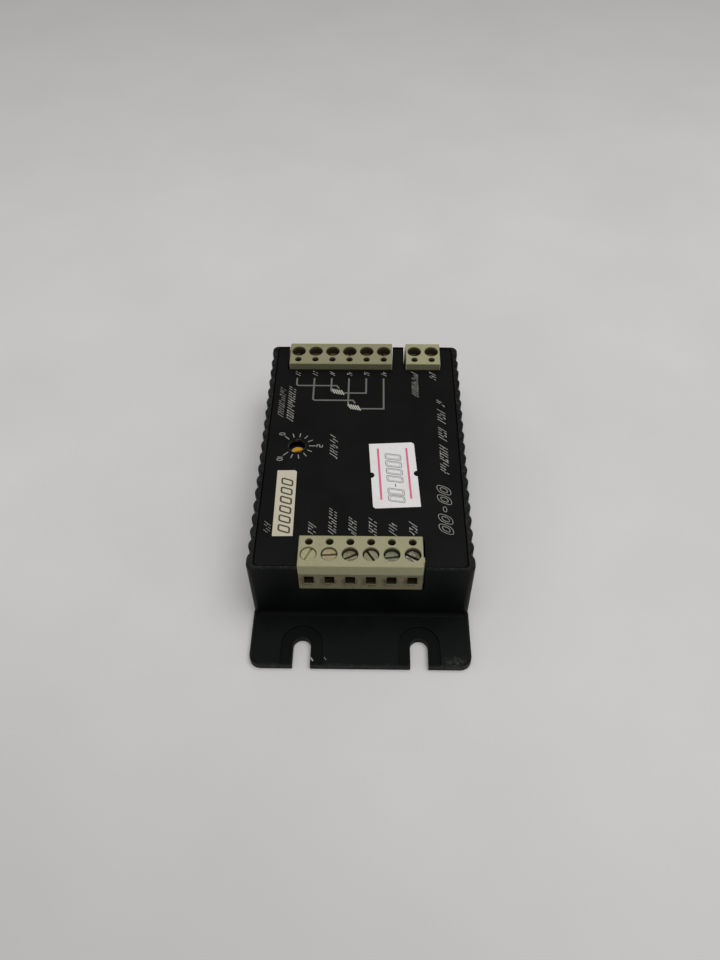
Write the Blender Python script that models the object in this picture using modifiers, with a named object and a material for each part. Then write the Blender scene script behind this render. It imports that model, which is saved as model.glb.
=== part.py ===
"""Two-phase stepper driver module: a ribbed cast case with terminal blocks, a board and a current trimmer.

Units are metres, +Z is up. The origin is at the centre of the case's underside. The case's long, ribbed
sides lie along Y, and the end with one terminal block faces -Y.
"""

import math

import bmesh
import bpy
from mathutils import Matrix

MM = 0.001

# Case, a cast tub with a fixing flange at each end
BODY_WIDTH = 55.0 * MM  # over the tips of the ribs
BODY_LENGTH = 80.0 * MM
CASE_HEIGHT = 22.7 * MM
FLOOR_THICKNESS = 2.5 * MM  # of the flanges as well
SIDE_WALL = 1.9 * MM  # at the bottom of the grooves between ribs
END_WALL = 1.8 * MM
CASE_CORNER = 1.6 * MM  # the upright corners, which the end ribs run into
BODY_CORNER = 0.8 * MM  # inside the case
TOP_EDGE = 0.45 * MM
RIB_DEPTH = 1.0 * MM
RIB_PITCH = 4.12 * MM
RIB_SEGMENTS = 6
FLANGE_LENGTH = 14.5 * MM
FLANGE_CORNER = 2.75 * MM
FLANGE_EDGE = 0.4 * MM
FLANGE_FILLET = 1.0 * MM
SLOT_WIDTH = 4.5 * MM  # clears an M4 screw
SLOT_SPACING = 29.2 * MM
SLOT_TO_END = 5.45 * MM  # from the centre of a slot's round end to the flange's edge
SEAT_RADIUS = 5.25 * MM  # flat sunk round each slot for the screw's washer
SEAT_DEPTH = 0.5 * MM

# Printed panel, which lies in a rebate in the case's rim
PANEL_THICKNESS = 0.8 * MM
PANEL_DROP = 0.15 * MM  # below the rim
PANEL_CORNER = 1.0 * MM
SIDE_RIM = 0.6 * MM
END_RIM = 0.75 * MM

GAP = 0.3 * MM  # left between two pieces that rest on each other
LABEL_GAP = 0.05 * MM
RUNNING_GAP = 0.1 * MM  # on the radius of what turns in a hole

# Terminal blocks. A block's own frame has its origin on the board, in the middle of the block's inner
# edge, and its wire entries face -Y
TERMINAL_PITCH = 5.0 * MM
TERMINAL_DEPTH = 9.0 * MM
TERMINAL_HEIGHT = 10.3 * MM
TERMINAL_PROUD = 1.9 * MM  # above the case's rim
TERMINAL_EDGE = 0.2 * MM
FACE_STEP = 0.3 * MM  # the wire entries' face lies this far behind the band above it
FACE_BAND = 3.6 * MM  # height of that band
FRONT_WALL = 0.65 * MM  # between the stepped face and a pole's chamber
PROBE_INSET = 1.9 * MM  # from the inner edge
PROBE_RADIUS = 1.0 * MM
PROBE_DEPTH = 3.3 * MM
PARTITION = 0.8 * MM  # between two poles' chambers
CHAMBER_DEPTH = 5.2 * MM
CHAMBER_ROOF = 3.7 * MM  # plastic above a chamber
WIRE_WIDTH = 2.4 * MM
WIRE_HEIGHT = 3.2 * MM
KEY_WIDTH = 1.4 * MM  # dovetail on one end of a block, which would join it to another
KEY_PROUD = 0.3 * MM
KEY_FROM_FACE = 1.2 * MM
NOTCH_GAP = 0.25 * MM  # between a block and the case's wall

# Metal of one pole: a threaded cage with a solder pin, a screw and the plate that it presses down
CAGE_WALL = 0.5 * MM
CAGE_ROOF = 1.0 * MM
WIRE_PASSAGE = 3.3 * MM  # height inside the cage
PLATE_THICKNESS = 0.4 * MM
PLATE_GAP = 0.2 * MM
PIN_WIDTH = 1.0 * MM
PIN_THICKNESS = 0.8 * MM
PIN_BELOW_BOARD = 1.5 * MM
SCREW_RADIUS = 1.3 * MM  # M2.6
SCREW_HEAD_RADIUS = 1.85 * MM
SCREW_HEAD_HEIGHT = 1.3 * MM
SCREW_HEAD_EDGE = 0.2 * MM
SCREW_TRAVEL = 2.5 * MM
SCREW_SLOT_WIDTH = 0.6 * MM
SCREW_SLOT_DEPTH = 0.7 * MM
HOLE_GAP = 0.2 * MM  # on the radius, round a screw's head
SCREW_SEGMENTS = 16
HOLE_SEGMENTS = 20

# Where the blocks stand, and how each screw is left: (how far it is screwed down, its slot's angle)
FRONT_PROUD = 0.5 * MM  # of the front block, past the end wall
REAR_SHY = 1.0 * MM  # of the rear blocks, behind the end wall's outer face
FRONT_CENTRE = 0.0 * MM
REAR_ROW_CENTRE = 0.1 * MM
REAR_ROW_GAP = 4.0 * MM  # between the motor block and the power block
FRONT_SCREWS = ((0.25, 64), (0.35, 4), (1.1, 27), (0.9, -57), (1.25, 8), (1.1, -29))
MOTOR_SCREWS = ((2.2, 70), (2.3, 15), (2.25, -40), (2.4, 95), (2.2, 30), (2.3, -75))
POWER_SCREWS = ((2.35, 50), (2.3, -20))

# Board and what stands on it
BOARD_THICKNESS = 1.6 * MM
BOARD_CLEARANCE = 0.6 * MM  # round its edge
BOARD_CORNER = 1.5 * MM
PIN_HOLE_GAP = 0.3 * MM
POST_RADIUS = 3.0 * MM
POST_INSET = 4.4 * MM  # of a post's axis from the case's inner side wall
FRONT_POST_INSET = 5.2 * MM  # of the front post's axis from the inner end wall
REAR_POST_INSET = 5.5 * MM  # of the rear post's axis from the rear blocks
BOARD_SCREW_RADIUS = 1.25 * MM
BOARD_SCREW_HEAD = 2.3 * MM
BOARD_SCREW_HEAD_HEIGHT = 1.6 * MM
BOARD_SCREW_LENGTH = 6.0 * MM

TRIMMER_X = -17.7 * MM
TRIMMER_Y = -0.5 * MM
TRIMMER_WIDTH = 6.8 * MM
TRIMMER_HEIGHT = 5.0 * MM
TRIMMER_HOLE_RADIUS = 2.25 * MM  # in the panel
ROTOR_RADIUS = 1.9 * MM
ROTOR_HEIGHT = 1.5 * MM
ROTOR_SUNK = 0.75 * MM
ROTOR_SLOT_WIDTH = 0.7 * MM
ROTOR_SLOT_DEPTH = 0.6 * MM
ROTOR_ANGLE = math.radians(20)

DRIVER_SIZE = (31.0 * MM, 16.0 * MM, 4.8 * MM)
DRIVER_CENTRE_Y = 2.0 * MM
DRIVER_LEADS = 18
DRIVER_LEAD_PITCH = 1.68 * MM
DRIVER_LEAD_WIDTH = 0.65 * MM
DRIVER_LEAD_REACH = 3.0 * MM
LEAD_THICKNESS = 0.5 * MM
DRIVER_SCREW_RADIUS = 1.45 * MM
DRIVER_SCREW_HEAD = 2.75 * MM
DRIVER_SCREW_HEAD_HEIGHT = 2.0 * MM
DRIVER_SCREW_BITE = 1.7 * MM  # into the case's floor

CONTROLLER_SIZE = (6.4 * MM, 22.9 * MM, 3.4 * MM)
CONTROLLER_CENTRE = (2.0 * MM, -6.0 * MM)
CONTROLLER_LEGS = 9
CONTROLLER_LEG_PITCH = 2.54 * MM
CONTROLLER_LEG_WIDTH = 0.5 * MM
CONTROLLER_LEG_REACH = 0.8 * MM
CONTROLLER_LEG_RISE = 1.6 * MM

CAPACITOR_RADIUS = 3.15 * MM
CAPACITOR_LENGTH = 11.0 * MM
CAPACITOR_EDGE = 0.5 * MM
CAPACITOR_CENTRE = (17.5 * MM, 6.0 * MM)
RESISTOR_RADIUS = 1.6 * MM
RESISTOR_LENGTH = 9.0 * MM
RESISTOR_LEAD_SPAN = 13.0 * MM
RESISTOR_RISE = 2.4 * MM
RESISTOR_INSET = 6.5 * MM  # from the rear blocks
RESISTOR_X = (-8.0 * MM, 8.5 * MM)
WIRE_LEAD_RADIUS = 0.35 * MM

# Paper labels on the panel
LABEL_THICKNESS = 0.1 * MM
INVENTORY_LABEL = (12.1 * MM, 22.0 * MM)
INVENTORY_CENTRE = (8.3 * MM, -10.4 * MM)
INVENTORY_TILT = 3.4
INVENTORY_NOTCH = 0.95 * MM
INVENTORY_CLIP = 0.6 * MM
SERIAL_LABEL = (5.1 * MM, 21.2 * MM)
SERIAL_CENTRE = (-19.5 * MM, -19.9 * MM)
SERIAL_TILT = 0.9
SERIAL_CLIP = 0.5 * MM

# Worked out from the sizes above
HALF_WIDTH = BODY_WIDTH / 2
HALF_LENGTH = BODY_LENGTH / 2
VALLEY_X = HALF_WIDTH - RIB_DEPTH
INNER_X = VALLEY_X - SIDE_WALL
INNER_Y = HALF_LENGTH - END_WALL
END_Y = HALF_LENGTH + FLANGE_LENGTH
SLOT_Y = END_Y - SLOT_TO_END
RIB_COUNT = int((BODY_LENGTH - 2 * CASE_CORNER) / RIB_PITCH) + 1
REBATE_X = VALLEY_X - SIDE_RIM
REBATE_Y = HALF_LENGTH - END_RIM
PANEL_TOP = CASE_HEIGHT - PANEL_DROP
PANEL_BOTTOM = PANEL_TOP - PANEL_THICKNESS
BLOCK_BOTTOM = CASE_HEIGHT + TERMINAL_PROUD - TERMINAL_HEIGHT
BOARD_TOP = BLOCK_BOTTOM - GAP
BOARD_BOTTOM = BOARD_TOP - BOARD_THICKNESS
CHAMBER_TOP = TERMINAL_HEIGHT - CHAMBER_ROOF
CHAMBER_WIDTH = TERMINAL_PITCH - PARTITION
CHAMBER_FRONT = TERMINAL_DEPTH - FACE_STEP - FRONT_WALL
SCREW_INSET = CHAMBER_FRONT - CHAMBER_DEPTH / 2  # from the inner edge to the screws' axes
CAGE_TOP = CHAMBER_TOP - GAP
CAGE_WIDTH = CHAMBER_WIDTH - 2 * GAP
CAGE_DEPTH = CHAMBER_DEPTH - 2 * GAP
PASSAGE_TOP = CAGE_TOP - CAGE_ROOF
PASSAGE_BOTTOM = PASSAGE_TOP - WIRE_PASSAGE
PASSAGE_WIDTH = CAGE_WIDTH - 2 * CAGE_WALL
PLATE_TOP = PASSAGE_TOP - RUNNING_GAP  # with the screw backed out
HEAD_DOWN = CAGE_TOP + RUNNING_GAP  # underside of the head with the screw driven home
HEAD_UP = HEAD_DOWN + SCREW_TRAVEL
SHANK_LENGTH = HEAD_UP - PLATE_TOP - GAP
HEAD_HOLE_RADIUS = SCREW_HEAD_RADIUS + HOLE_GAP
ROTOR_BOTTOM = BOARD_TOP + GAP + TRIMMER_HEIGHT - ROTOR_SUNK + RUNNING_GAP
DRIVER_TOP = FLOOR_THICKNESS + GAP + DRIVER_SIZE[2]
MOTOR_WIDTH = len(MOTOR_SCREWS) * TERMINAL_PITCH
POWER_WIDTH = len(POWER_SCREWS) * TERMINAL_PITCH
MOTOR_CENTRE = REAR_ROW_CENTRE - (REAR_ROW_GAP + POWER_WIDTH) / 2
POWER_CENTRE = REAR_ROW_CENTRE + (REAR_ROW_GAP + MOTOR_WIDTH) / 2
FRONT_INNER_EDGE = -(HALF_LENGTH + FRONT_PROUD - TERMINAL_DEPTH)
REAR_INNER_EDGE = HALF_LENGTH - REAR_SHY - TERMINAL_DEPTH
# Each block as (name, centre, inner edge, side that it faces, screws)
BLOCKS = (
    ("front", FRONT_CENTRE, FRONT_INNER_EDGE, -1, FRONT_SCREWS),
    ("motor", MOTOR_CENTRE, REAR_INNER_EDGE, 1, MOTOR_SCREWS),
    ("power", POWER_CENTRE, REAR_INNER_EDGE, 1, POWER_SCREWS),
)
# Axes of the board's two posts and their screws
POSTS = (
    (POST_INSET - INNER_X, FRONT_POST_INSET - INNER_Y),
    (INNER_X - POST_INSET, REAR_INNER_EDGE - REAR_POST_INSET),
)


def fresh_collection(name):
    found = bpy.data.collections.get(name) or bpy.data.collections.new(name)
    if name not in bpy.context.scene.collection.children:
        bpy.context.scene.collection.children.link(found)
    return found


def clear_scene():
    for old in list(bpy.data.objects):
        bpy.data.objects.remove(old, do_unlink=True)


def material(name, colour, roughness, metallic=0.0):
    made = bpy.data.materials.new(name)
    made.use_nodes = True
    shader = made.node_tree.nodes["Principled BSDF"]
    shader.inputs["Base Color"].default_value = (*colour, 1.0)
    shader.inputs["Roughness"].default_value = roughness
    shader.inputs["Metallic"].default_value = metallic
    made.diffuse_color = (*colour, 1.0)
    return made


def place(name, mesh, finish=None, parent=None, location=(0, 0, 0), angle=0.0):
    """An object of the module, shown in its finish, or a cutter if it has none."""
    made = bpy.data.objects.new(name, mesh)
    made.location = location
    made.rotation_euler.z = angle
    made.parent = parent
    if finish is None:
        CUTTERS.objects.link(made)
        made.hide_render = True
        made.display_type = "WIRE"
    else:
        PARTS.objects.link(made)
        if not mesh.materials:
            mesh.materials.append(finish)
    return made


def to_mesh(name, bm):
    bmesh.ops.recalc_face_normals(bm, faces=bm.faces)
    mesh = bpy.data.meshes.new(name)
    bm.to_mesh(mesh)
    bm.free()
    return mesh


def add_box(bm, low, high):
    centre = [(a + b) / 2 for a, b in zip(low, high)]
    size = [b - a for a, b in zip(low, high)]
    matrix = Matrix.Translation(centre) @ Matrix.Diagonal((*size, 1.0))
    return bmesh.ops.create_cube(bm, size=1.0, matrix=matrix)["verts"]


def add_cylinder(bm, x, y, bottom, top, radius, segments=HOLE_SEGMENTS):
    bmesh.ops.create_cone(
        bm,
        cap_ends=True,
        segments=segments,
        radius1=radius,
        radius2=radius,
        depth=top - bottom,
        matrix=Matrix.Translation((x, y, (top + bottom) / 2)),
    )


def boxes(name, corners):
    """A mesh of separate boxes, each given by its lowest and highest corner."""
    bm = bmesh.new()
    for low, high in corners:
        add_box(bm, low, high)
    return to_mesh(name, bm)


def cylinders(name, rows, segments=HOLE_SEGMENTS):
    """A mesh of separate upright cylinders, each given as (x, y, bottom, top, radius)."""
    bm = bmesh.new()
    for x, y, bottom, top, radius in rows:
        add_cylinder(bm, x, y, bottom, top, radius, segments)
    return to_mesh(name, bm)


def settled(source, name):
    """The mesh that an object's curve or modifiers make, with its seams welded and the object gone."""
    bpy.context.view_layer.update()
    graph = bpy.context.evaluated_depsgraph_get()
    mesh = bpy.data.meshes.new_from_object(source.evaluated_get(graph))
    mesh.name = name
    bpy.data.objects.remove(source, do_unlink=True)
    bm = bmesh.new()
    bm.from_mesh(mesh)
    bmesh.ops.remove_doubles(bm, verts=bm.verts, dist=0.001 * MM)
    bmesh.ops.recalc_face_normals(bm, faces=bm.faces)
    bm.to_mesh(mesh)
    bm.free()
    return mesh


def curve_object(name, points, cyclic, dimensions):
    curve = bpy.data.curves.new(name, "CURVE")
    curve.dimensions = dimensions
    spline = curve.splines.new("POLY")
    spline.points.add(len(points) - 1)
    for spot, point in zip(spline.points, points):
        spot.co = (*point, *([0.0] * (3 - len(point))), 1.0)
    spline.use_cyclic_u = cyclic
    made = bpy.data.objects.new(name, curve)
    CUTTERS.objects.link(made)
    return made


def outlined(name, points, bottom, top, edge=0.0):
    """A flat outline made solid from bottom to top, with its top edge taken off by edge."""
    flat = curve_object(name, points, True, "2D")
    flat.data.fill_mode = "BOTH"
    flat.data.extrude = (top - bottom) / 2
    mesh = settled(flat, name)
    mesh.transform(Matrix.Translation((0, 0, (top + bottom) / 2)))
    if edge:
        bm = bmesh.new()
        bm.from_mesh(mesh)
        bmesh.ops.dissolve_limit(bm, angle_limit=0.001, verts=bm.verts, edges=bm.edges)
        rim = [e for e in bm.edges if all(v.co.z > top - GAP / 2 for v in e.verts)]
        bmesh.ops.bevel(bm, geom=rim, offset=edge, segments=1, affect="EDGES", profile=0.5)
        bm.to_mesh(mesh)
        bm.free()
    return mesh


def tube(name, points, radius):
    wire = curve_object(name, points, False, "3D")
    wire.data.bevel_depth = radius
    wire.data.bevel_resolution = 2
    wire.data.use_fill_caps = True
    return settled(wire, name)


def turned(name, profile, segments):
    """A profile of (radius, height) points, from the top down, turned about Z."""
    bm = bmesh.new()
    spots = [bm.verts.new((radius, 0, height)) for radius, height in profile]
    for first, second in zip(spots, spots[1:]):
        bm.edges.new((first, second))
    line = bpy.data.meshes.new(name)
    bm.to_mesh(line)
    bm.free()
    made = place(name, line)
    screw = made.modifiers.new("turn", "SCREW")
    screw.axis = "Z"
    screw.steps = segments
    screw.render_steps = segments
    screw.use_merge_vertices = True
    screw.merge_threshold = 0.01 * MM
    screw.use_smooth_shade = True
    return settled(made, name)


def combine(target, operation, mesh, name):
    """Cuts a mesh from an object, or joins it on, with a Boolean modifier."""
    helper = place(name, mesh, parent=target.parent)
    step = target.modifiers.new(name, "BOOLEAN")
    step.operation = operation
    step.solver = "EXACT"
    step.object = helper


def cut(target, mesh, name):
    combine(target, "DIFFERENCE", mesh, name)


def join(target, mesh, name):
    combine(target, "UNION", mesh, name)


def arc(x, y, radius, start, end, segments):
    """Points on an arc from start to end, in degrees."""
    turn = [math.radians(start + (end - start) * i / segments) for i in range(segments + 1)]
    return [(x + radius * math.cos(a), y + radius * math.sin(a)) for a in turn]


def rounded_rectangle(half_x, half_y, radius, segments=4):
    x, y = half_x - radius, half_y - radius
    return (
        arc(x, y, radius, 0, 90, segments)
        + arc(-x, y, radius, 90, 180, segments)
        + arc(-x, -y, radius, 180, 270, segments)
        + arc(x, -y, radius, 270, 360, segments)
    )


def smooth(mesh, angle=40):
    mesh.shade_smooth()
    mesh.set_sharp_from_angle(angle=math.radians(angle))
    return mesh


# Case


def rib_points(side):
    """The ribbed side at +X for side 1, from front to back, or at -X for side -1, from back to front.

    It starts and ends at the crests of the end ribs, which the corners carry on from.
    """
    chord = RIB_PITCH / 2
    radius = (chord**2 + RIB_DEPTH**2) / (2 * RIB_DEPTH)
    reach = math.degrees(math.asin(chord / radius))
    last = RIB_COUNT - 1
    points = []
    for i in range(RIB_COUNT):
        y = (i - last / 2) * RIB_PITCH
        start = 0 if i == 0 else -reach
        end = 0 if i == last else reach
        segments = RIB_SEGMENTS // 2 if i in (0, last) else RIB_SEGMENTS
        rib = arc(HALF_WIDTH - radius, y, radius, start, end, segments)
        points += rib if i == 0 else rib[1:]
    return points if side > 0 else [(-x, -y) for x, y in points]


def body_outline():
    x, y = HALF_WIDTH - CASE_CORNER, HALF_LENGTH - CASE_CORNER
    return (
        arc(x, -y, CASE_CORNER, -90, 0, 5)
        + rib_points(1)
        + arc(x, y, CASE_CORNER, 0, 90, 5)
        + arc(-x, y, CASE_CORNER, 90, 180, 5)
        + rib_points(-1)
        + arc(-x, -y, CASE_CORNER, 180, 270, 5)
    )


def slot_points(x, radius):
    """Up one side of a slot that is open at the flange's edge, round its end and down the other side."""
    return [(x - radius, -END_Y)] + arc(x, -SLOT_Y, radius, 180, 0, 10) + [(x + radius, -END_Y)]


def flange_outline():
    """The flange at -Y, with its open slots, running a little way into the body."""
    inside = -(HALF_LENGTH - CASE_CORNER / 2)
    x, y = HALF_WIDTH - FLANGE_CORNER, -(END_Y - FLANGE_CORNER)
    half = SLOT_WIDTH / 2
    return (
        [(-HALF_WIDTH, inside)]
        + arc(-x, y, FLANGE_CORNER, 180, 270, 5)
        + slot_points(-SLOT_SPACING / 2, half)
        + slot_points(SLOT_SPACING / 2, half)
        + arc(x, y, FLANGE_CORNER, 270, 360, 5)
        + [(HALF_WIDTH, inside)]
    )


def seat_outline(x):
    """The sunk flat round a slot, run out past the flange's edge."""
    beyond = -(END_Y + MM)
    round_end = arc(x, -SLOT_Y, SEAT_RADIUS, 180, 0, 14)
    return [(x - SEAT_RADIUS, beyond)] + round_end + [(x + SEAT_RADIUS, beyond)]


def fillet_mesh(name):
    """The fillet where the wall at -Y meets its flange."""
    r = FLANGE_FILLET
    hidden = 0.4 * MM
    curve = [(-r + r * math.sin(t), r - r * math.cos(t)) for t in (math.radians(15 * i) for i in range(7))]
    profile = [(hidden, -hidden), (hidden, r)] + curve[::-1] + [(-r, -hidden)]
    half = HALF_WIDTH - CASE_CORNER
    mesh = outlined(name, profile, -half, half)
    # The outline's X becomes Y, its Y becomes Z, and its thickness lies along X
    mesh.transform(Matrix(((0, 0, 1, 0), (1, 0, 0, 0), (0, 1, 0, 0), (0, 0, 0, 1))))
    mesh.transform(Matrix.Translation((0, -HALF_LENGTH, FLOOR_THICKNESS)))
    return mesh


def at_rear(mesh):
    mesh.transform(Matrix.Rotation(math.pi, 4, "Z"))
    return mesh


def block_openings(inset, bottom, top):
    """Boxes that clear each terminal block and its key, starting this far out from its inner edge."""
    corners = []
    for _, centre, inner_edge, side, screws in BLOCKS:
        half = len(screws) * TERMINAL_PITCH / 2 + NOTCH_GAP
        low = centre - half - (KEY_PROUD if side > 0 else 0)
        high = centre + half + (KEY_PROUD if side < 0 else 0)
        y = sorted((inner_edge + side * inset, side * (HALF_LENGTH + MM)))
        corners.append(((low, y[0], bottom), (high, y[1], top)))
    return corners


def build_case():
    above = CASE_HEIGHT + MM
    body = outlined("case", body_outline(), 0, CASE_HEIGHT, TOP_EDGE)
    case = place("case", body, CAST_PAINT)
    for end, turn in (("front", lambda mesh: mesh), ("rear", at_rear)):
        flange = outlined(f"{end}_flange", flange_outline(), 0, FLOOR_THICKNESS, FLANGE_EDGE)
        join(case, turn(flange), f"{end}_flange")
        join(case, turn(fillet_mesh(f"{end}_fillet")), f"{end}_fillet")
        for side, x in (("left", -SLOT_SPACING / 2), ("right", SLOT_SPACING / 2)):
            name = f"{end}_{side}_seat"
            seat = outlined(name, seat_outline(x), FLOOR_THICKNESS - SEAT_DEPTH, FLOOR_THICKNESS + MM)
            cut(case, turn(seat), name)
    inside = rounded_rectangle(INNER_X, INNER_Y, BODY_CORNER)
    cut(case, outlined("inside", inside, FLOOR_THICKNESS, above), "inside")
    rebate = rounded_rectangle(REBATE_X, REBATE_Y, PANEL_CORNER)
    cut(case, outlined("rebate", rebate, PANEL_BOTTOM - GAP, above), "rebate")
    notches = block_openings(TERMINAL_DEPTH / 2, BLOCK_BOTTOM - NOTCH_GAP, above)
    cut(case, boxes("notches", notches), "notches")
    sunk = FLOOR_THICKNESS / 2
    posts = [(x, y, sunk, BOARD_BOTTOM - GAP, POST_RADIUS) for x, y in POSTS]
    join(case, cylinders("posts", posts), "posts")
    bite = BOARD_SCREW_LENGTH - BOARD_THICKNESS
    holes = [
        (x, y, BOARD_BOTTOM - bite - MM, BOARD_BOTTOM, BOARD_SCREW_RADIUS + RUNNING_GAP)
        for x, y in POSTS
    ]
    bottom = FLOOR_THICKNESS - DRIVER_SCREW_BITE - GAP
    holes.append((0, DRIVER_CENTRE_Y, bottom, FLOOR_THICKNESS + GAP, DRIVER_SCREW_RADIUS + RUNNING_GAP))
    cut(case, cylinders("tapped_holes", holes, SCREW_SEGMENTS), "tapped_holes")


def build_panel():
    outline = rounded_rectangle(REBATE_X - GAP, REBATE_Y - GAP, PANEL_CORNER)
    panel = place("top_panel", outlined("top_panel", outline, PANEL_BOTTOM, PANEL_TOP), PANEL_PAINT)
    openings = block_openings(-NOTCH_GAP, PANEL_BOTTOM - MM, PANEL_TOP + MM)
    cut(panel, boxes("block_openings", openings), "block_openings")
    hole = [(TRIMMER_X, TRIMMER_Y, PANEL_BOTTOM - MM, PANEL_TOP + MM, TRIMMER_HOLE_RADIUS)]
    cut(panel, cylinders("trimmer_hole", hole, 32), "trimmer_hole")


# Terminal blocks


def pole_places(poles):
    return [(i - (poles - 1) / 2) * TERMINAL_PITCH for i in range(poles)]


def housing_mesh(name, poles):
    half = poles * TERMINAL_PITCH / 2
    block = place(name, boxes(name, [((-half, -TERMINAL_DEPTH, 0), (half, 0, TERMINAL_HEIGHT))]))
    bevel = block.modifiers.new("edges", "BEVEL")
    bevel.width = TERMINAL_EDGE
    bevel.segments = 1
    face = TERMINAL_DEPTH - FACE_STEP
    step = ((-half - MM, -TERMINAL_DEPTH - MM, -MM), (half + MM, -face, TERMINAL_HEIGHT - FACE_BAND))
    cut(block, boxes("face_step", [step]), "face_step")
    key_y = -face + KEY_FROM_FACE
    key = ((half - MM, key_y, 0), (half + KEY_PROUD, key_y + KEY_WIDTH, TERMINAL_HEIGHT - TERMINAL_EDGE))
    join(block, boxes("key", [key]), "key")
    places = pole_places(poles)
    back = CHAMBER_FRONT - CHAMBER_DEPTH
    wide = CHAMBER_WIDTH / 2
    chambers = [((x - wide, -CHAMBER_FRONT, -MM), (x + wide, -back, CHAMBER_TOP)) for x in places]
    cut(block, boxes("chambers", chambers), "chambers")
    wide = WIRE_WIDTH / 2
    top = PASSAGE_TOP
    front, inside = -TERMINAL_DEPTH - MM, -CHAMBER_FRONT + GAP
    entries = [((x - wide, front, top - WIRE_HEIGHT), (x + wide, inside, top)) for x in places]
    cut(block, boxes("wire_entries", entries), "wire_entries")
    up = TERMINAL_HEIGHT + MM
    wells = [(x, -SCREW_INSET, CHAMBER_TOP - GAP, up, HEAD_HOLE_RADIUS) for x in places]
    cut(block, cylinders("screw_wells", wells), "screw_wells")
    probes = [(x, -PROBE_INSET, TERMINAL_HEIGHT - PROBE_DEPTH, up, PROBE_RADIUS) for x in places]
    cut(block, cylinders("probe_holes", probes, 12), "probe_holes")
    return smooth(settled(block, name), 30)


def cage_mesh():
    """The cage of one pole, with the screw's axis at its origin in X and Y."""
    half_x, half_y = CAGE_WIDTH / 2, CAGE_DEPTH / 2
    floor = PASSAGE_BOTTOM - CAGE_WALL
    body = ((-half_x, -half_y, floor), (half_x, half_y, CAGE_TOP))
    cage = place("cage", boxes("cage", [body]))
    wide = PASSAGE_WIDTH / 2
    passage = ((-wide, -half_y - MM, PASSAGE_BOTTOM), (wide, half_y + MM, PASSAGE_TOP))
    cut(cage, boxes("passage", [passage]), "passage")
    thread = [(0, 0, PASSAGE_TOP - GAP, CAGE_TOP + MM, SCREW_RADIUS + RUNNING_GAP)]
    cut(cage, cylinders("thread", thread, SCREW_SEGMENTS), "thread")
    end = -(GAP + BOARD_THICKNESS + PIN_BELOW_BOARD)
    x, y = PIN_WIDTH / 2, PIN_THICKNESS / 2
    join(cage, boxes("pin", [((-x, -y, end), (x, y, floor + CAGE_WALL / 2))]), "pin")
    return settled(cage, "terminal_contact")


def plate_mesh():
    """The pressure plate of one pole, its top at its origin."""
    half_x, half_y = PASSAGE_WIDTH / 2 - PLATE_GAP, CAGE_DEPTH / 2 - PLATE_GAP
    return boxes("terminal_plate", [((-half_x, -half_y, -PLATE_THICKNESS), (half_x, half_y, 0))])


def screw_mesh(name, radius, length, head, head_height, edge, slot_width, slot_depth):
    """A slotted screw, the underside of its head at its origin."""
    profile = [
        (0, head_height),
        (head - edge, head_height),
        (head, head_height - edge),
        (head, 0),
        (radius, 0),
        (radius, -length),
        (0, -length),
    ]
    screw = place(name, turned(name, profile, SCREW_SEGMENTS))
    reach, half = head + MM, slot_width / 2
    slot = ((-reach, -half, head_height - slot_depth), (reach, half, head_height + MM))
    cut(screw, boxes("slot", [slot]), "slot")
    return smooth(settled(screw, name), 30)


def build_terminals(prefix, centre, inner_edge, side, settings):
    """A block and its metal. Poles are numbered from left to right, as seen from the front."""
    frame = bpy.data.objects.new(f"{prefix}_block_frame", None)
    frame.location = (centre, inner_edge, BLOCK_BOTTOM)
    frame.rotation_euler.z = 0 if side < 0 else math.pi
    PARTS.objects.link(frame)
    poles = len(settings)
    name = f"{prefix}_terminal_housing"
    place(name, housing_mesh(name, poles), BLOCK_PLASTIC, frame)
    for i, (down, slot_angle) in enumerate(settings):
        x = -side * pole_places(poles)[i]
        angle = math.radians(slot_angle) - frame.rotation_euler.z
        down *= MM
        place(f"{prefix}_contact_{i + 1}", CONTACT, PLATED_BRASS, frame, (x, -SCREW_INSET, 0))
        place(f"{prefix}_plate_{i + 1}", PLATE, PLATED_BRASS, frame, (x, -SCREW_INSET, PLATE_TOP - down))
        head = (x, -SCREW_INSET, HEAD_UP - down)
        place(f"{prefix}_screw_{i + 1}", SCREW, PLATED_STEEL, frame, head, angle)


# Board and its parts


def build_board():
    outline = rounded_rectangle(INNER_X - BOARD_CLEARANCE, INNER_Y - BOARD_CLEARANCE, BOARD_CORNER)
    mesh = outlined("circuit_board", outline, BOARD_BOTTOM, BOARD_TOP)
    board = place("circuit_board", mesh, BOARD_GREEN)
    below, above = BOARD_BOTTOM - MM, BOARD_TOP + MM
    half_x, half_y = PIN_WIDTH / 2 + PIN_HOLE_GAP, PIN_THICKNESS / 2 + PIN_HOLE_GAP
    pins = []
    for _, centre, inner_edge, side, screws in BLOCKS:
        y = inner_edge + side * SCREW_INSET
        for place_x in pole_places(len(screws)):
            x = centre + place_x
            pins.append(((x - half_x, y - half_y, below), (x + half_x, y + half_y, above)))
    cut(board, boxes("pin_holes", pins), "pin_holes")
    holes = [(x, y, below, above, BOARD_SCREW_RADIUS + RUNNING_GAP) for x, y in POSTS]
    cut(board, cylinders("board_screw_holes", holes, SCREW_SEGMENTS), "board_screw_holes")
    mesh = screw_mesh(
        "board_screw",
        BOARD_SCREW_RADIUS,
        BOARD_SCREW_LENGTH,
        BOARD_SCREW_HEAD,
        BOARD_SCREW_HEAD_HEIGHT,
        SCREW_HEAD_EDGE,
        SCREW_SLOT_WIDTH,
        SCREW_SLOT_DEPTH,
    )
    for end, (x, y) in zip(("front", "rear"), POSTS):
        place(f"board_screw_{end}", mesh, PLATED_STEEL, None, (x, y, BOARD_TOP + GAP))


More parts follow.
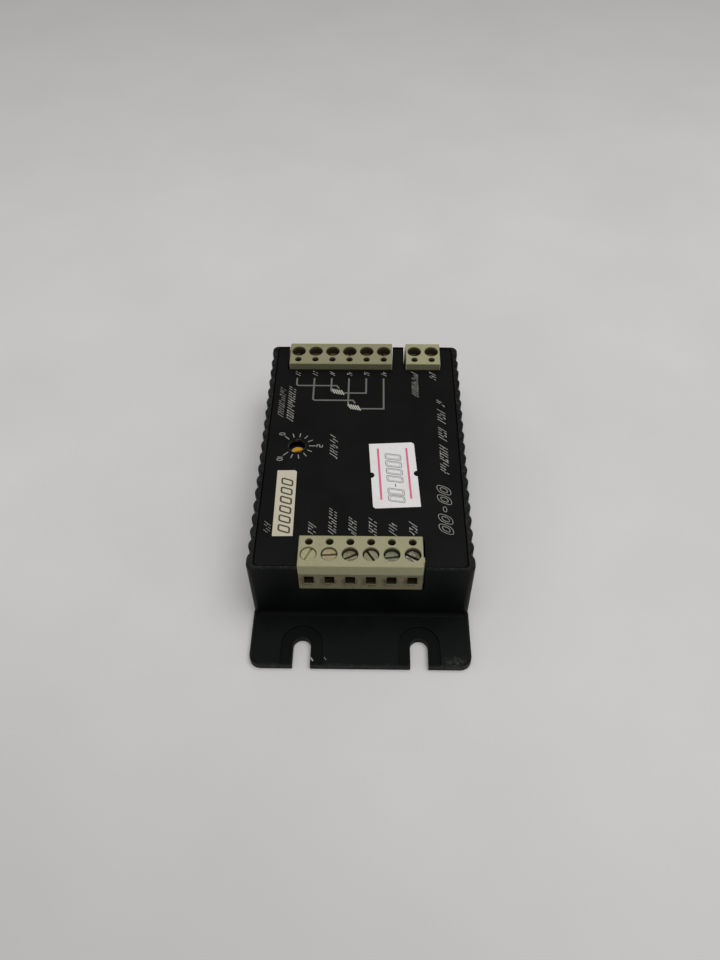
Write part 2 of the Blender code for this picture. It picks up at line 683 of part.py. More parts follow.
def build_trimmer():
    bottom = BOARD_TOP + GAP
    half = TRIMMER_WIDTH / 2
    mesh = boxes("trimmer_body", [((-half, -half, 0), (half, half, TRIMMER_HEIGHT))])
    body = place("trimmer_body", mesh, TRIMMER_BLUE, None, (TRIMMER_X, TRIMMER_Y, bottom))
    bevel = body.modifiers.new("edges", "BEVEL")
    bevel.width = TERMINAL_EDGE
    bevel.segments = 1
    sunk = TRIMMER_HEIGHT - ROTOR_SUNK
    well = cylinders("rotor_well", [(0, 0, sunk, TRIMMER_HEIGHT + MM, ROTOR_RADIUS + HOLE_GAP)], 24)
    well.transform(Matrix.Translation(body.location))
    cut(body, well, "rotor_well")
    profile = [
        (0, ROTOR_HEIGHT),
        (ROTOR_RADIUS - SCREW_HEAD_EDGE, ROTOR_HEIGHT),
        (ROTOR_RADIUS, ROTOR_HEIGHT - SCREW_HEAD_EDGE),
        (ROTOR_RADIUS, 0),
        (0, 0),
    ]
    rotor = place("rotor", turned("trimmer_rotor", profile, 24))
    reach, half = ROTOR_RADIUS + MM, ROTOR_SLOT_WIDTH / 2
    slot = ((-reach, -half, ROTOR_HEIGHT - ROTOR_SLOT_DEPTH), (reach, half, ROTOR_HEIGHT + MM))
    cut(rotor, boxes("rotor_slot", [slot]), "rotor_slot")
    mesh = smooth(settled(rotor, "trimmer_rotor"), 30)
    place("trimmer_rotor", mesh, ROTOR_YELLOW, None, (TRIMMER_X, TRIMMER_Y, ROTOR_BOTTOM), ROTOR_ANGLE)


def lead_row(name, count, pitch, width, profile):
    """Flat leads of one profile, given in Y and Z, spread along X."""
    bm = bmesh.new()
    for i in range(count):
        lead = outlined(name, profile, -width / 2, width / 2)
        lead.transform(Matrix(((0, 0, 1, 0), (1, 0, 0, 0), (0, 1, 0, 0), (0, 0, 0, 1))))
        lead.transform(Matrix.Translation(((i - (count - 1) / 2) * pitch, 0, 0)))
        bm.from_mesh(lead)
        bpy.data.meshes.remove(lead)
    return to_mesh(name, bm)


def build_driver():
    """The power driver lies on the case's floor, which cools it, with its leads bent up to the board."""
    x, y, height = (size / 2 for size in DRIVER_SIZE)
    bottom = FLOOR_THICKNESS + GAP
    mesh = boxes("driver_ic", [((-x, DRIVER_CENTRE_Y - y, bottom), (x, DRIVER_CENTRE_Y + y, DRIVER_TOP))])
    driver = place("driver_ic", mesh, CHIP_BLACK)
    middle = bottom + height
    side, out = DRIVER_CENTRE_Y + y, DRIVER_CENTRE_Y + y + DRIVER_LEAD_REACH
    thick = LEAD_THICKNESS
    profile = [
        (side - MM, middle),
        (out, middle),
        (out, BOARD_BOTTOM - GAP),
        (out - thick, BOARD_BOTTOM - GAP),
        (out - thick, middle + thick),
        (side - MM, middle + thick),
    ]
    leads = lead_row("driver_leads", DRIVER_LEADS, DRIVER_LEAD_PITCH, DRIVER_LEAD_WIDTH, profile)
    join(driver, leads, "driver_leads")
    hole = [(0, DRIVER_CENTRE_Y, 0, DRIVER_TOP + MM, DRIVER_SCREW_RADIUS + RUNNING_GAP)]
    cut(driver, cylinders("driver_hole", hole, SCREW_SEGMENTS), "driver_hole")
    mesh = screw_mesh(
        "driver_screw",
        DRIVER_SCREW_RADIUS,
        DRIVER_SIZE[2] + 2 * GAP + DRIVER_SCREW_BITE,
        DRIVER_SCREW_HEAD,
        DRIVER_SCREW_HEAD_HEIGHT,
        SCREW_HEAD_EDGE,
        SCREW_SLOT_WIDTH,
        SCREW_SLOT_DEPTH,
    )
    place("driver_screw", mesh, PLATED_STEEL, None, (0, DRIVER_CENTRE_Y, DRIVER_TOP + GAP))


def build_controller():
    x, y, height = CONTROLLER_SIZE[0] / 2, CONTROLLER_SIZE[1] / 2, CONTROLLER_SIZE[2]
    cx, cy = CONTROLLER_CENTRE
    bottom = BOARD_TOP + CONTROLLER_LEG_RISE - CONTROLLER_SIZE[2] / 4
    mesh = boxes("control_ic", [((cx - x, cy - y, bottom), (cx + x, cy + y, bottom + height))])
    chip = place("control_ic", mesh, CHIP_BLACK)
    rise, out, thick = CONTROLLER_LEG_RISE, x + CONTROLLER_LEG_REACH, LEAD_THICKNESS
    profile = [
        (x - MM / 2, rise),
        (out - thick, rise),
        (out - thick, GAP),
        (out, GAP),
        (out, rise + thick),
        (x - MM / 2, rise + thick),
    ]
    legs = lead_row("legs", CONTROLLER_LEGS, CONTROLLER_LEG_PITCH, CONTROLLER_LEG_WIDTH, profile)
    for side, name in ((1, "left_legs"), (-1, "right_legs")):
        row = legs.copy()
        row.transform(Matrix.Rotation(side * math.pi / 2, 4, "Z"))
        row.transform(Matrix.Translation((cx, cy, BOARD_TOP)))
        join(chip, row, name)


def build_capacitor():
    r, half = CAPACITOR_RADIUS, CAPACITOR_LENGTH / 2
    profile = [
        (0, half),
        (r - CAPACITOR_EDGE, half),
        (r, half - CAPACITOR_EDGE),
        (r, -half),
        (0, -half),
    ]
    can = turned("smoothing_capacitor", profile, 24)
    cx, cy = CAPACITOR_CENTRE
    height = BOARD_TOP + GAP + r
    can.transform(Matrix.Rotation(math.pi / 2, 4, "X"))
    can.transform(Matrix.Translation((cx, cy, height)))
    capacitor = place("smoothing_capacitor", smooth(can), SLEEVE_BLUE)
    back = cy + half
    for side in (-1, 1):
        x = cx + side * r * 0.4
        route = [(x, back - MM, height), (x, back + MM, height), (x, back + MM, BOARD_TOP + GAP)]
        name = "capacitor_lead_left" if side < 0 else "capacitor_lead_right"
        join(capacitor, tube(name, route, WIRE_LEAD_RADIUS), name)


def build_resistor(name, cx, cy):
    r, half = RESISTOR_RADIUS, RESISTOR_LENGTH / 2
    profile = [(0, half), (r - SCREW_HEAD_EDGE, half), (r, half - SCREW_HEAD_EDGE)]
    profile += [(radius, -height) for radius, height in profile[::-1]]
    body = turned(name, profile, 16)
    height = BOARD_TOP + RESISTOR_RISE
    body.transform(Matrix.Rotation(math.pi / 2, 4, "Y"))
    body.transform(Matrix.Translation((cx, cy, height)))
    resistor = place(name, smooth(body), RESISTOR_GREY)
    for side, end in ((-1, "left"), (1, "right")):
        out = cx + side * RESISTOR_LEAD_SPAN / 2
        start = (cx + side * (half - MM), cy, height)
        route = [start, (out, cy, height), (out, cy, BOARD_TOP + GAP)]
        join(resistor, tube(f"{name}_{end}_lead", route, WIRE_LEAD_RADIUS), f"{name}_{end}_lead")


# Labels


def build_labels():
    bottom = PANEL_TOP + LABEL_GAP
    top = bottom + LABEL_THICKNESS
    x, y = (size / 2 for size in INVENTORY_LABEL)
    clip, notch = INVENTORY_CLIP, INVENTORY_NOTCH
    outline = (
        [(-x + clip, -y), (x, -y)]
        + arc(x, 0, notch, 270, 90, 8)
        + [(x, y - clip), (x - clip, y), (-x, y)]
        + arc(-x, 0, notch, 90, -90, 8)
        + [(-x, -y + clip)]
    )
    mesh = outlined("inventory_label", outline, bottom, top)
    spot = (*INVENTORY_CENTRE, 0)
    place("inventory_label", mesh, LABEL_WHITE, None, spot, math.radians(INVENTORY_TILT))
    x, y = (size / 2 for size in SERIAL_LABEL)
    outline = [(-x, -y), (x, -y), (x, y - SERIAL_CLIP), (x - SERIAL_CLIP, y), (-x, y)]
    mesh = outlined("serial_label", outline, bottom, top)
    place("serial_label", mesh, LABEL_BEIGE, None, (*SERIAL_CENTRE, 0), math.radians(SERIAL_TILT))


clear_scene()
PARTS = fresh_collection("stepper_driver_module")
CUTTERS = fresh_collection("cutters")
CUTTERS.hide_render = True

CAST_PAINT = material("black_paint_on_casting", (0.012, 0.013, 0.013), 0.45)
PANEL_PAINT = material("black_panel", (0.008, 0.008, 0.008), 0.4)
BLOCK_PLASTIC = material("grey_green_plastic", (0.42, 0.40, 0.28), 0.5)
PLATED_STEEL = material("plated_steel", (0.55, 0.54, 0.48), 0.35, 1.0)
PLATED_BRASS = material("plated_brass", (0.62, 0.56, 0.38), 0.35, 1.0)
BOARD_GREEN = material("board_laminate", (0.05, 0.16, 0.08), 0.5)
TRIMMER_BLUE = material("trimmer_blue", (0.02, 0.05, 0.22), 0.45)
ROTOR_YELLOW = material("rotor_yellow", (0.75, 0.45, 0.05), 0.4)
CHIP_BLACK = material("moulded_package", (0.02, 0.02, 0.02), 0.6)
SLEEVE_BLUE = material("capacitor_sleeve", (0.02, 0.03, 0.10), 0.4)
RESISTOR_GREY = material("resistor_coating", (0.25, 0.30, 0.32), 0.6)
LABEL_WHITE = material("white_label", (0.80, 0.80, 0.78), 0.6)
LABEL_BEIGE = material("beige_label", (0.62, 0.55, 0.47), 0.6)

CONTACT = cage_mesh()
PLATE = plate_mesh()
SCREW = screw_mesh(
    "terminal_screw",
    SCREW_RADIUS,
    SHANK_LENGTH,
    SCREW_HEAD_RADIUS,
    SCREW_HEAD_HEIGHT,
    SCREW_HEAD_EDGE,
    SCREW_SLOT_WIDTH,
    SCREW_SLOT_DEPTH,
)

build_case()
build_panel()
build_board()
for block in BLOCKS:
    build_terminals(*block)
build_trimmer()
build_driver()
build_controller()
build_capacitor()
for letter, resistor_x in zip("ab", RESISTOR_X):
    build_resistor(f"sense_resistor_{letter}", resistor_x, REAR_INNER_EDGE - RESISTOR_INSET)
build_labels()
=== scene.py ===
"""Looks of the stepper driver module: finer pieces, print, labels, materials, light and camera."""

import math
import random

import bmesh
import bpy
import numpy as np
from mathutils import Matrix, Vector


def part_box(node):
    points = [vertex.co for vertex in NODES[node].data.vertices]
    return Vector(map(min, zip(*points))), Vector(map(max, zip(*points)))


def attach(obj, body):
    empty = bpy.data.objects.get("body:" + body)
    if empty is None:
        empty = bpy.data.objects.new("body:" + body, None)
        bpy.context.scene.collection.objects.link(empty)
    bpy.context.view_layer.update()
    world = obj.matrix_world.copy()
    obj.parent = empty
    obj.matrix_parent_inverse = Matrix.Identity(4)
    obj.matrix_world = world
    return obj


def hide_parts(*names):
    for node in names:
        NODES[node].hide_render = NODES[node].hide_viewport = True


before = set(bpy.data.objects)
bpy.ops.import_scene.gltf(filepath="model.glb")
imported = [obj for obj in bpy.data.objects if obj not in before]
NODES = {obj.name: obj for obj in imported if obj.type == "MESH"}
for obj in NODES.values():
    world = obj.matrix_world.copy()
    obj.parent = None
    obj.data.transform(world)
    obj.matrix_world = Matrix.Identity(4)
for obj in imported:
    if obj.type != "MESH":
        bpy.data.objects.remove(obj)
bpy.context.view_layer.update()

MM = 0.001
BLOCKS = (("front", 6, -1), ("motor", 6, 1), ("power", 2, 1))  # name, poles, side that it faces along Y

# The case
CASE_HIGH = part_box("case")[1]
PANEL_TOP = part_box("top_panel")[1].z
BODY_END = 40.0 * MM  # the end walls' outer faces from the middle
FLANGE_Z, SEAT_Z = 2.5 * MM, 2.0 * MM  # tops of the flanges and of the sunk seats
RIB_PITCH = 4.12 * MM
RIB_RADIUS = 2.62 * MM
RIB_OUTSIDE = 1.2 * MM  # points of a rib's arc are further out than this from its axis
RIBS_END = 37.1 * MM

# The terminal blocks
POLE_PITCH = 5.0 * MM
WELL_RADIUS = 2.2 * MM
PROBE_RADIUS = 1.15 * MM
PROBE_INSET = 1.9 * MM  # of the test holes from a block's inner edge
ENTRY_HALF = 1.3 * MM  # half the width of a wire entry
ENTRY_TOP = 4.8 * MM  # from a block's top to the top of its wire entries
ENTRY_DROP = 6.6 * MM  # from a block's top to the middle of its wire entries
FACE_BAND = 3.6 * MM  # the clean upper part of a block's outer face

# The terminal screws
SCREW_HEAD, HEAD_HEIGHT = 1.85 * MM, 1.3 * MM
SLOT_WIDTH, SLOT_DEPTH = 0.6 * MM, 0.7 * MM
SHANK_RADIUS = 1.26 * MM  # a little under the cage's hole, so that the threads clear it at every turn
THREAD_PITCH, THREAD_DEPTH = 0.45 * MM, 0.16 * MM

scene = bpy.context.scene
scene.view_settings.view_transform = "Standard"


# Helpers for meshes


def new_object(name, data):
    obj = bpy.data.objects.new(name, data)
    scene.collection.objects.link(obj)
    return obj


def middle(node):
    """The middle of a CAD node's box."""
    low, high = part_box(node)
    return (low + high) / 2


def piece(name, mesh, material, body="root", replaces=(), place=None):
    """A new piece with its material and body, standing for the CAD nodes named."""
    obj = new_object(name, mesh)
    if place is not None:
        obj.matrix_world = place
    even = obj.modifiers.new("even_shading", "WEIGHTED_NORMAL")
    even.keep_sharp = True
    even.weight = 90
    mesh.materials.clear()
    mesh.materials.append(material)
    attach(obj, body)
    if replaces:
        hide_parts(*replaces)
    return obj


def mesh_from(bm, name, smooth_angle=None):
    """The finished mesh, smooth but for edges sharper than the angle if one is given. It frees bm."""
    mesh = bpy.data.meshes.new(name)
    bmesh.ops.recalc_face_normals(bm, faces=bm.faces)
    bm.to_mesh(mesh)
    bm.free()
    if smooth_angle is not None:
        mesh.shade_smooth()
        mesh.set_sharp_from_angle(angle=math.radians(smooth_angle))
    return mesh


def round_ribs(bm):
    """Cut each flat of the ribs' arcs in three, with the new points on the arcs."""
    axis_x = CASE_HIGH.x - RIB_RADIUS

    def centre_near(point):
        return Vector((math.copysign(axis_x, point.x), round(point.y / RIB_PITCH) * RIB_PITCH))

    flats = []
    radii = []  # the middle of each flat, and the radius of its arc
    for edge in bm.edges:
        a, b = (v.co for v in edge.verts)
        level = abs(a.z - b.z) < 1e-7
        outside = min(abs(a.x), abs(b.x)) > axis_x + RIB_OUTSIDE and max(abs(a.y), abs(b.y)) < RIBS_END
        if level and outside and a.x * b.x > 0 and abs(a.y - b.y) > 0.2 * MM:
            half_way = (a + b) / 2
            flats.append(edge)
            radii.append((half_way, (a.xy - centre_near(half_way)).length))
    old = {tuple(v.co) for v in bm.verts}
    bmesh.ops.subdivide_edges(bm, edges=flats, cuts=2, use_grid_fill=False, use_only_quads=True)
    for vert in bm.verts:
        if tuple(vert.co) in old:
            continue
        radius = min(radii, key=lambda r: (r[0] - vert.co).length)[1]
        centre = centre_near(vert.co)
        vert.co.xy = centre + (vert.co.xy - centre).normalized() * radius


def softened(node, width, segments=2, sharp=30, smooth_angle=40, keep=None, before=None):
    """The CAD node's shape with its sharp edges rounded, as a new mesh.

    keep(edge) says which edges stay sharp, and before(bm) works on the shape first.
    """
    bm = bmesh.new()
    bm.from_mesh(NODES[node].data)
    bmesh.ops.remove_doubles(bm, verts=bm.verts, dist=1e-6)
    bmesh.ops.dissolve_limit(
        bm,
        angle_limit=math.radians(0.6),
        use_dissolve_boundaries=False,
        verts=bm.verts,
        edges=bm.edges,
        delimit={"NORMAL"},
    )
    if before is not None:
        before(bm)
    bm.normal_update()
    limit = math.radians(sharp)
    edges = []
    for edge in bm.edges:
        if len(edge.link_faces) != 2 or edge.calc_face_angle(0) < limit:
            continue
        if keep is None or not keep(edge):
            edges.append(edge)
    bmesh.ops.bevel(
        bm,
        geom=edges,
        offset=width,
        offset_type="OFFSET",
        segments=segments,
        profile=0.5,
        affect="EDGES",
        clamp_overlap=True,
    )
    return mesh_from(bm, node + "_fine", smooth_angle)


def prism(bm, points, bottom, top):
    """A closed flat solid over an outline that runs anticlockwise."""
    low = [bm.verts.new((x, y, bottom)) for x, y in points]
    high = [bm.verts.new((x, y, top)) for x, y in points]
    count = len(points)
    bm.faces.new(high)
    bm.faces.new(low[::-1])
    for i in range(count):
        j = (i + 1) % count
        bm.faces.new((low[i], low[j], high[j], high[i]))


def stroke(bm, points, width, bottom, top, closed=False):
    """A flat line of ink along the points, mitred at its corners."""
    pts = [Vector(p) for p in points]
    count = len(pts)
    left, right = [], []
    for i, p in enumerate(pts):
        before = pts[i - 1] if i or closed else None
        after = pts[(i + 1) % count] if i < count - 1 or closed else None
        d1 = (p - before).normalized() if before is not None else None
        d2 = (after - p).normalized() if after is not None else None
        d1 = d1 or d2
        d2 = d2 or d1
        n1, n2 = Vector((-d1.y, d1.x)), Vector((-d2.y, d2.x))
        across = (n1 + n2).normalized()
        across *= width / 2 / max(0.35, across.dot(n1))
        left.append(p + across)
        right.append(p - across)
    rings = [
        [bm.verts.new((q.x, q.y, z)) for q in side]
        for side, z in ((left, top), (right, top), (right, bottom), (left, bottom))
    ]
    steps = count if closed else count - 1
    for i in range(steps):
        j = (i + 1) % count
        for a, b in ((0, 1), (1, 2), (2, 3), (3, 0)):
            bm.faces.new((rings[a][i], rings[b][i], rings[b][j], rings[a][j]))
    if not closed:
        bm.faces.new([ring[0] for ring in rings][::-1])
        bm.faces.new([ring[-1] for ring in rings])


def lathe(bm, profile, segments):
    """A solid turned about Z from (radius, height) points, its first and last on the axis."""
    rings = []
    for radius, z in profile:
        if radius < 1e-9:
            rings.append([bm.verts.new((0, 0, z))])
            continue
        turn = [2 * math.pi * i / segments for i in range(segments)]
        rings.append([bm.verts.new((radius * math.cos(a), radius * math.sin(a), z)) for a in turn])
    for a, b in zip(rings, rings[1:]):
        for i in range(segments):
            j = (i + 1) % segments
            if len(a) == 1:
                bm.faces.new((a[0], b[i], b[j]))
            elif len(b) == 1:
                bm.faces.new((a[i], b[0], a[j]))
            else:
                bm.faces.new((a[i], b[i], b[j], a[j]))


# Helpers for materials


SHADER_INPUTS = {
    "colour": "Base Color",
    "rough": "Roughness",
    "metal": "Metallic",
    "spec": "Specular IOR Level",
}


class Graph:
    """A node material under construction. Positions are the object's own, in metres."""

    def __init__(self, name):
        self.material = bpy.data.materials.new(name)
        self.material.use_nodes = True
        self.nodes = self.material.node_tree.nodes
        self.links = self.material.node_tree.links
        self.nodes.clear()
        self.out = self.nodes.new("ShaderNodeOutputMaterial")
        self.shader = self.nodes.new("ShaderNodeBsdfPrincipled")
        self.links.new(self.shader.outputs[0], self.out.inputs[0])
        self.coords = self.nodes.new("ShaderNodeTexCoord").outputs["Object"]

    def put(self, socket, value):
        if isinstance(value, bpy.types.NodeSocket):
            self.links.new(value, socket)
        elif isinstance(value, (tuple, list)) and len(value) == 3 and socket.type == "RGBA":
            socket.default_value = (*value, 1)
        else:
            socket.default_value = value

    def scaled(self, scale, rotation=(0, 0, 0)):
        node = self.nodes.new("ShaderNodeMapping")
        self.put(node.inputs["Vector"], self.coords)
        node.inputs["Scale"].default_value = scale
        node.inputs["Rotation"].default_value = rotation
        return node.outputs[0]

    def noise(self, size, detail=3.0, rough=0.5, vector=None, distort=0.0):
        """Noise from 0 to 1 whose blobs are about this size in metres."""
        node = self.nodes.new("ShaderNodeTexNoise")
        self.put(node.inputs["Vector"], vector or self.coords)
        node.inputs["Scale"].default_value = 1 / size
        node.inputs["Detail"].default_value = detail
        node.inputs["Roughness"].default_value = rough
        node.inputs["Distortion"].default_value = distort
        return node.outputs["Fac"]

    def specks(self, spacing, share, patch, low, high):
        """1 in small specks this far apart, only where noise of the patch size is over low to high."""
        node = self.nodes.new("ShaderNodeTexVoronoi")
        self.put(node.inputs["Vector"], self.coords)
        node.inputs["Scale"].default_value = 1 / spacing
        dots = self.ramp(node.outputs["Distance"], 0.0, share, 1.0, 0.0)
        return self.times(dots, self.ramp(self.noise(patch, 2), low, high))

    def threads(self, size, direction):
        node = self.nodes.new("ShaderNodeTexWave")
        node.bands_direction = direction
        self.put(node.inputs["Vector"], self.coords)
        node.inputs["Scale"].default_value = 1 / size / 3.1416
        node.inputs["Distortion"].default_value = 1.2
        return node.outputs["Fac"]

    def ramp(self, value, low, high, start=0.0, end=1.0):
        """value from low to high, made start to end and held beyond."""
        node = self.nodes.new("ShaderNodeMapRange")
        self.put(node.inputs["Value"], value)
        self.put(node.inputs["From Min"], low)
        self.put(node.inputs["From Max"], high)
        self.put(node.inputs["To Min"], start)
        self.put(node.inputs["To Max"], end)
        return node.outputs[0]

    def math(self, kind, a, b=0.0):
        node = self.nodes.new("ShaderNodeMath")
        node.operation = kind
        self.put(node.inputs[0], a)
        self.put(node.inputs[1], b)
        return node.outputs[0]

    def plus(self, a, b):
        return self.math("ADD", a, b)

    def minus(self, a, b):
        return self.math("SUBTRACT", a, b)

    def times(self, a, b):
        return self.math("MULTIPLY", a, b)

    def most(self, a, b):
        return self.math("MAXIMUM", a, b)

    def distance(self, a, b):
        return self.math("SQRT", self.plus(self.times(a, a), self.times(b, b)))

    def near(self, value, place, width):
        """1 where value is at place, falling to 0 this far away."""
        away = self.math("ABSOLUTE", self.minus(value, place))
        return self.ramp(away, 0.0, width, 1.0, 0.0)

    def axis(self, which, source=None):
        node = self.nodes.new("ShaderNodeSeparateXYZ")
        self.put(node.inputs[0], source or self.coords)
        return node.outputs[which]

    def normal(self, which):
        """One axis of the surface's own direction, in the world's frame."""
        node = self.nodes.new("ShaderNodeNewGeometry")
        return self.axis(which, node.outputs["Normal"])

    def mix(self, factor, a, b):
        node = self.nodes.new("ShaderNodeMix")
        node.data_type = "RGBA"
        self.put(node.inputs["Factor"], factor)
        self.put(node.inputs[6], a)
        self.put(node.inputs[7], b)
        return node.outputs[2]

    def bump(self, height, strength, distance):
        node = self.nodes.new("ShaderNodeBump")
        node.inputs["Strength"].default_value = strength
        node.inputs["Distance"].default_value = distance
        self.put(node.inputs["Height"], height)
        self.links.new(node.outputs[0], self.shader.inputs["Normal"])

    def set(self, **values):
        for key, value in values.items():
            self.put(self.shader.inputs[SHADER_INPUTS[key]], value)


def case_paint():
    g = Graph("case_paint")
    x, y, z = (g.axis(i) for i in range(3))
    blotch = g.noise(6 * MM, 3, 0.6)
    fine = g.noise(0.35 * MM, 2, 0.6)
    wide = g.noise(18 * MM, 2)
    body = g.mix(g.ramp(blotch, 0.3, 0.75), (0.0018, 0.0027, 0.0024), (0.0034, 0.0046, 0.0041))
    # Rubbed paint along the top rim, the ribs' tips and the flanges' edges
    rub_noise = g.ramp(g.noise(1.1 * MM, 4, 0.7), 0.5, 0.72)
    along = g.math("ABSOLUTE", y)
    rim = g.near(z, CASE_HIGH.z, 0.55 * MM)
    ribs = g.ramp(g.math("ABSOLUTE", x), CASE_HIGH.x - 0.6 * MM, CASE_HIGH.x)
    flange_end = g.ramp(along, CASE_HIGH.y - 0.5 * MM, CASE_HIGH.y)
    edges = g.most(g.most(rim, g.times(ribs, 0.5)), flange_end)
    rub = g.times(edges, rub_noise)
    colour = g.mix(g.times(rub, 0.5), body, (0.068, 0.071, 0.067))
    soft_edge = g.times(edges, g.ramp(wide, 0.3, 0.7, 0.3, 0.9))
    colour = g.mix(g.times(soft_edge, 0.5), colour, (0.022, 0.024, 0.023))
    # Painted shade, and rougher paint, where the walls meet the flanges and in the seats
    crease_shade = g.times(g.near(along, BODY_END + 0.4 * MM, 1.3 * MM), g.near(z, FLANGE_Z + 0.4 * MM, 1.2 * MM))
    seat_shade = g.times(g.near(z, SEAT_Z, 0.2 * MM), g.ramp(along, BODY_END + 2 * MM, BODY_END + 3 * MM))
    dull_painted_shade = g.most(g.times(crease_shade, 0.95), g.times(seat_shade, 0.5))
    colour = g.mix(dull_painted_shade, colour, (0.0008, 0.0010, 0.0009))
    # Worn patch at the front flange's right-hand corner
    corner = g.times(g.near(x, CASE_HIGH.x - 4 * MM, 3.6 * MM), g.near(y, 0.9 * MM - CASE_HIGH.y, 1.9 * MM))
    patch = g.times(corner, g.ramp(g.noise(0.8 * MM, 4, 0.75), 0.42, 0.62))
    colour = g.mix(g.times(patch, 0.6), colour, (0.085, 0.095, 0.085))
    # Pale dust in specks
    specks = g.specks(2.6 * MM, 0.07, 9 * MM, 0.5, 0.65)
    colour = g.mix(g.times(specks, 0.25), colour, (0.07, 0.07, 0.065))
    rough = g.ramp(blotch, 0.2, 0.8, 0.42, 0.56)
    g.set(colour=colour, rough=g.plus(rough, g.times(dull_painted_shade, 0.3)), spec=0.085)
    g.bump(g.plus(fine, g.times(blotch, 0.6)), 0.25, 0.04 * MM)
    return g.material


def panel_paint():
    g = Graph("panel_paint")
    blotch = g.noise(11 * MM, 4, 0.55)
    fine = g.noise(0.18 * MM, 2, 0.5)
    colour = g.mix(g.ramp(blotch, 0.3, 0.72), (0.0024, 0.0024, 0.0024), (0.0040, 0.0040, 0.0039))
    # Bare metal shows round the edge of the trimmer's hole, and the lighter ring is partly a painted
    # highlight on that edge
    hole = middle("trimmer_rotor")
    from_x, from_y = g.minus(g.axis(0), hole.x), g.minus(g.axis(1), hole.y)
    reach = g.distance(from_x, from_y)
    bare_edge_and_highlight = g.times(g.near(reach, 2.32 * MM, 0.22 * MM), g.ramp(g.noise(0.9 * MM), 0.42, 0.6))
    colour = g.mix(g.times(bare_edge_and_highlight, 0.8), colour, (0.09, 0.09, 0.085))
    specks = g.specks(3.7 * MM, 0.045, 7 * MM, 0.52, 0.62)
    colour = g.mix(g.times(specks, 0.4), colour, (0.10, 0.10, 0.095))
    streaks = g.noise(1.0, 3, 0.6, g.scaled((900, 90, 90), (0, 0, 0.5)))
    scuffs = g.times(g.ramp(streaks, 0.66, 0.74), g.ramp(blotch, 0.5, 0.62))
    colour = g.mix(g.times(scuffs, 0.1), colour, (0.03, 0.03, 0.029))
    g.set(colour=colour, rough=g.ramp(blotch, 0.2, 0.8, 0.36, 0.48), spec=0.11)
    g.bump(fine, 0.12, 0.02 * MM)
    return g.material


def terminal_plastic(prefix, side, pale, tinted):
    """The plastic of one block, with painted shade in its wells, test holes and wire entries, and stains
    round the entries.
    """
    g = Graph(f"{prefix}_plastic")
    x, y, z = (g.axis(i) for i in range(3))
    low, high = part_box(f"{prefix}_terminal_housing")
    first = middle(f"{prefix}_screw_1")
    inner, outer = sorted((abs(low.y), abs(high.y)))
    blotch = g.noise(4.5 * MM, 4, 0.6)
    fine = g.noise(0.22 * MM, 3, 0.6)
    colour = g.mix(g.ramp(blotch, 0.3, 0.7), pale, tinted)
    stains = g.ramp(g.noise(1.3 * MM, 4, 0.7, distort=0.6), 0.52, 0.75)
    colour = g.mix(g.times(stains, 0.3), colour, tuple(0.55 * c for c in tinted))
    # The lower part of the outer face is grimy, most of all round the wire entries
    facing = g.ramp(g.times(g.normal(1), side), 0.5, 0.9)
    below = g.ramp(z, high.z - FACE_BAND - 0.25 * MM, high.z - FACE_BAND + 0.05 * MM, 1.0, 0.0)
    smear = g.ramp(g.noise(1.1 * MM, 4, 0.7, distort=0.8), 0.3, 0.7)
    face = g.times(facing, below)
    colour = g.mix(g.times(face, g.ramp(smear, 0, 1, 0.42, 0.72)), colour, (0.075, 0.062, 0.038))
    # Painted shade on the faces that look towards the middle of the case
    inward_shade = g.ramp(g.times(g.normal(1), -side), 0.5, 0.9)
    colour = g.mix(g.times(inward_shade, 0.5), colour, (0.05, 0.05, 0.022))
    # Painted shade in the wells and the test holes: across is how far a point is along X from the nearest
    # pole
    shifted = g.plus(g.minus(x, first.x), POLE_PITCH / 2)
    across = g.minus(g.math("FLOORED_MODULO", shifted, POLE_PITCH), POLE_PITCH / 2)
    sunk = g.ramp(z, high.z - 0.9 * MM, high.z - 0.15 * MM, 1.0, 0.0)
    holes = []
    for row, radius in ((first.y, WELL_RADIUS), (side * (inner + PROBE_INSET), PROBE_RADIUS)):
        reach = g.distance(across, g.minus(y, row))
        holes.append(g.times(g.ramp(reach, radius, radius + 0.06 * MM, 1.0, 0.0), sunk))
    wells, probes = holes
    if prefix == "front":
        # The first screw's well gets little painted shade
        beyond = first.x + POLE_PITCH / 2
        wells = g.times(wells, g.ramp(x, beyond - 0.85 * MM, beyond + 0.15 * MM, 0.1, 1.0))
    # Painted shade in the wire entries, behind the lips
    entry = g.times(g.ramp(g.math("ABSOLUTE", across), ENTRY_HALF - 0.08 * MM, ENTRY_HALF, 1.0, 0.0),
                    g.ramp(z, high.z - ENTRY_TOP - 0.1 * MM, high.z - ENTRY_TOP, 1.0, 0.0))
    behind = g.ramp(g.times(y, side), outer - 0.5 * MM, outer - 0.36 * MM, 1.0, 0.0)
    painted_hole_shade = g.most(g.most(wells, probes), g.times(entry, behind))
    # Brown stains spread from the entries, more to one side and downwards
    drop = g.minus(z, high.z - ENTRY_DROP - 0.3 * MM)
    aside = g.minus(across, side * 0.4 * MM)
    spread = g.distance(aside, drop)
    thick = g.times(facing, g.ramp(smear, 0, 1, 0.35, 1.0))
    stain = g.times(g.ramp(spread, 1.4 * MM, 2.5 * MM, 1.0, 0.0), thick)
    colour = g.mix(g.times(stain, 0.8), colour, (0.045, 0.029, 0.015))
    # Painted shade, dark brown, in the wells, the test holes and the wire entries
    colour = g.mix(g.times(painted_hole_shade, 0.88), colour, (0.024, 0.019, 0.007))
    g.set(colour=colour, rough=g.ramp(fine, 0.2, 0.8, 0.5, 0.64), spec=0.2)
    g.bump(g.plus(fine, g.times(blotch, 0.8)), 0.18, 0.05 * MM)
    return g.material


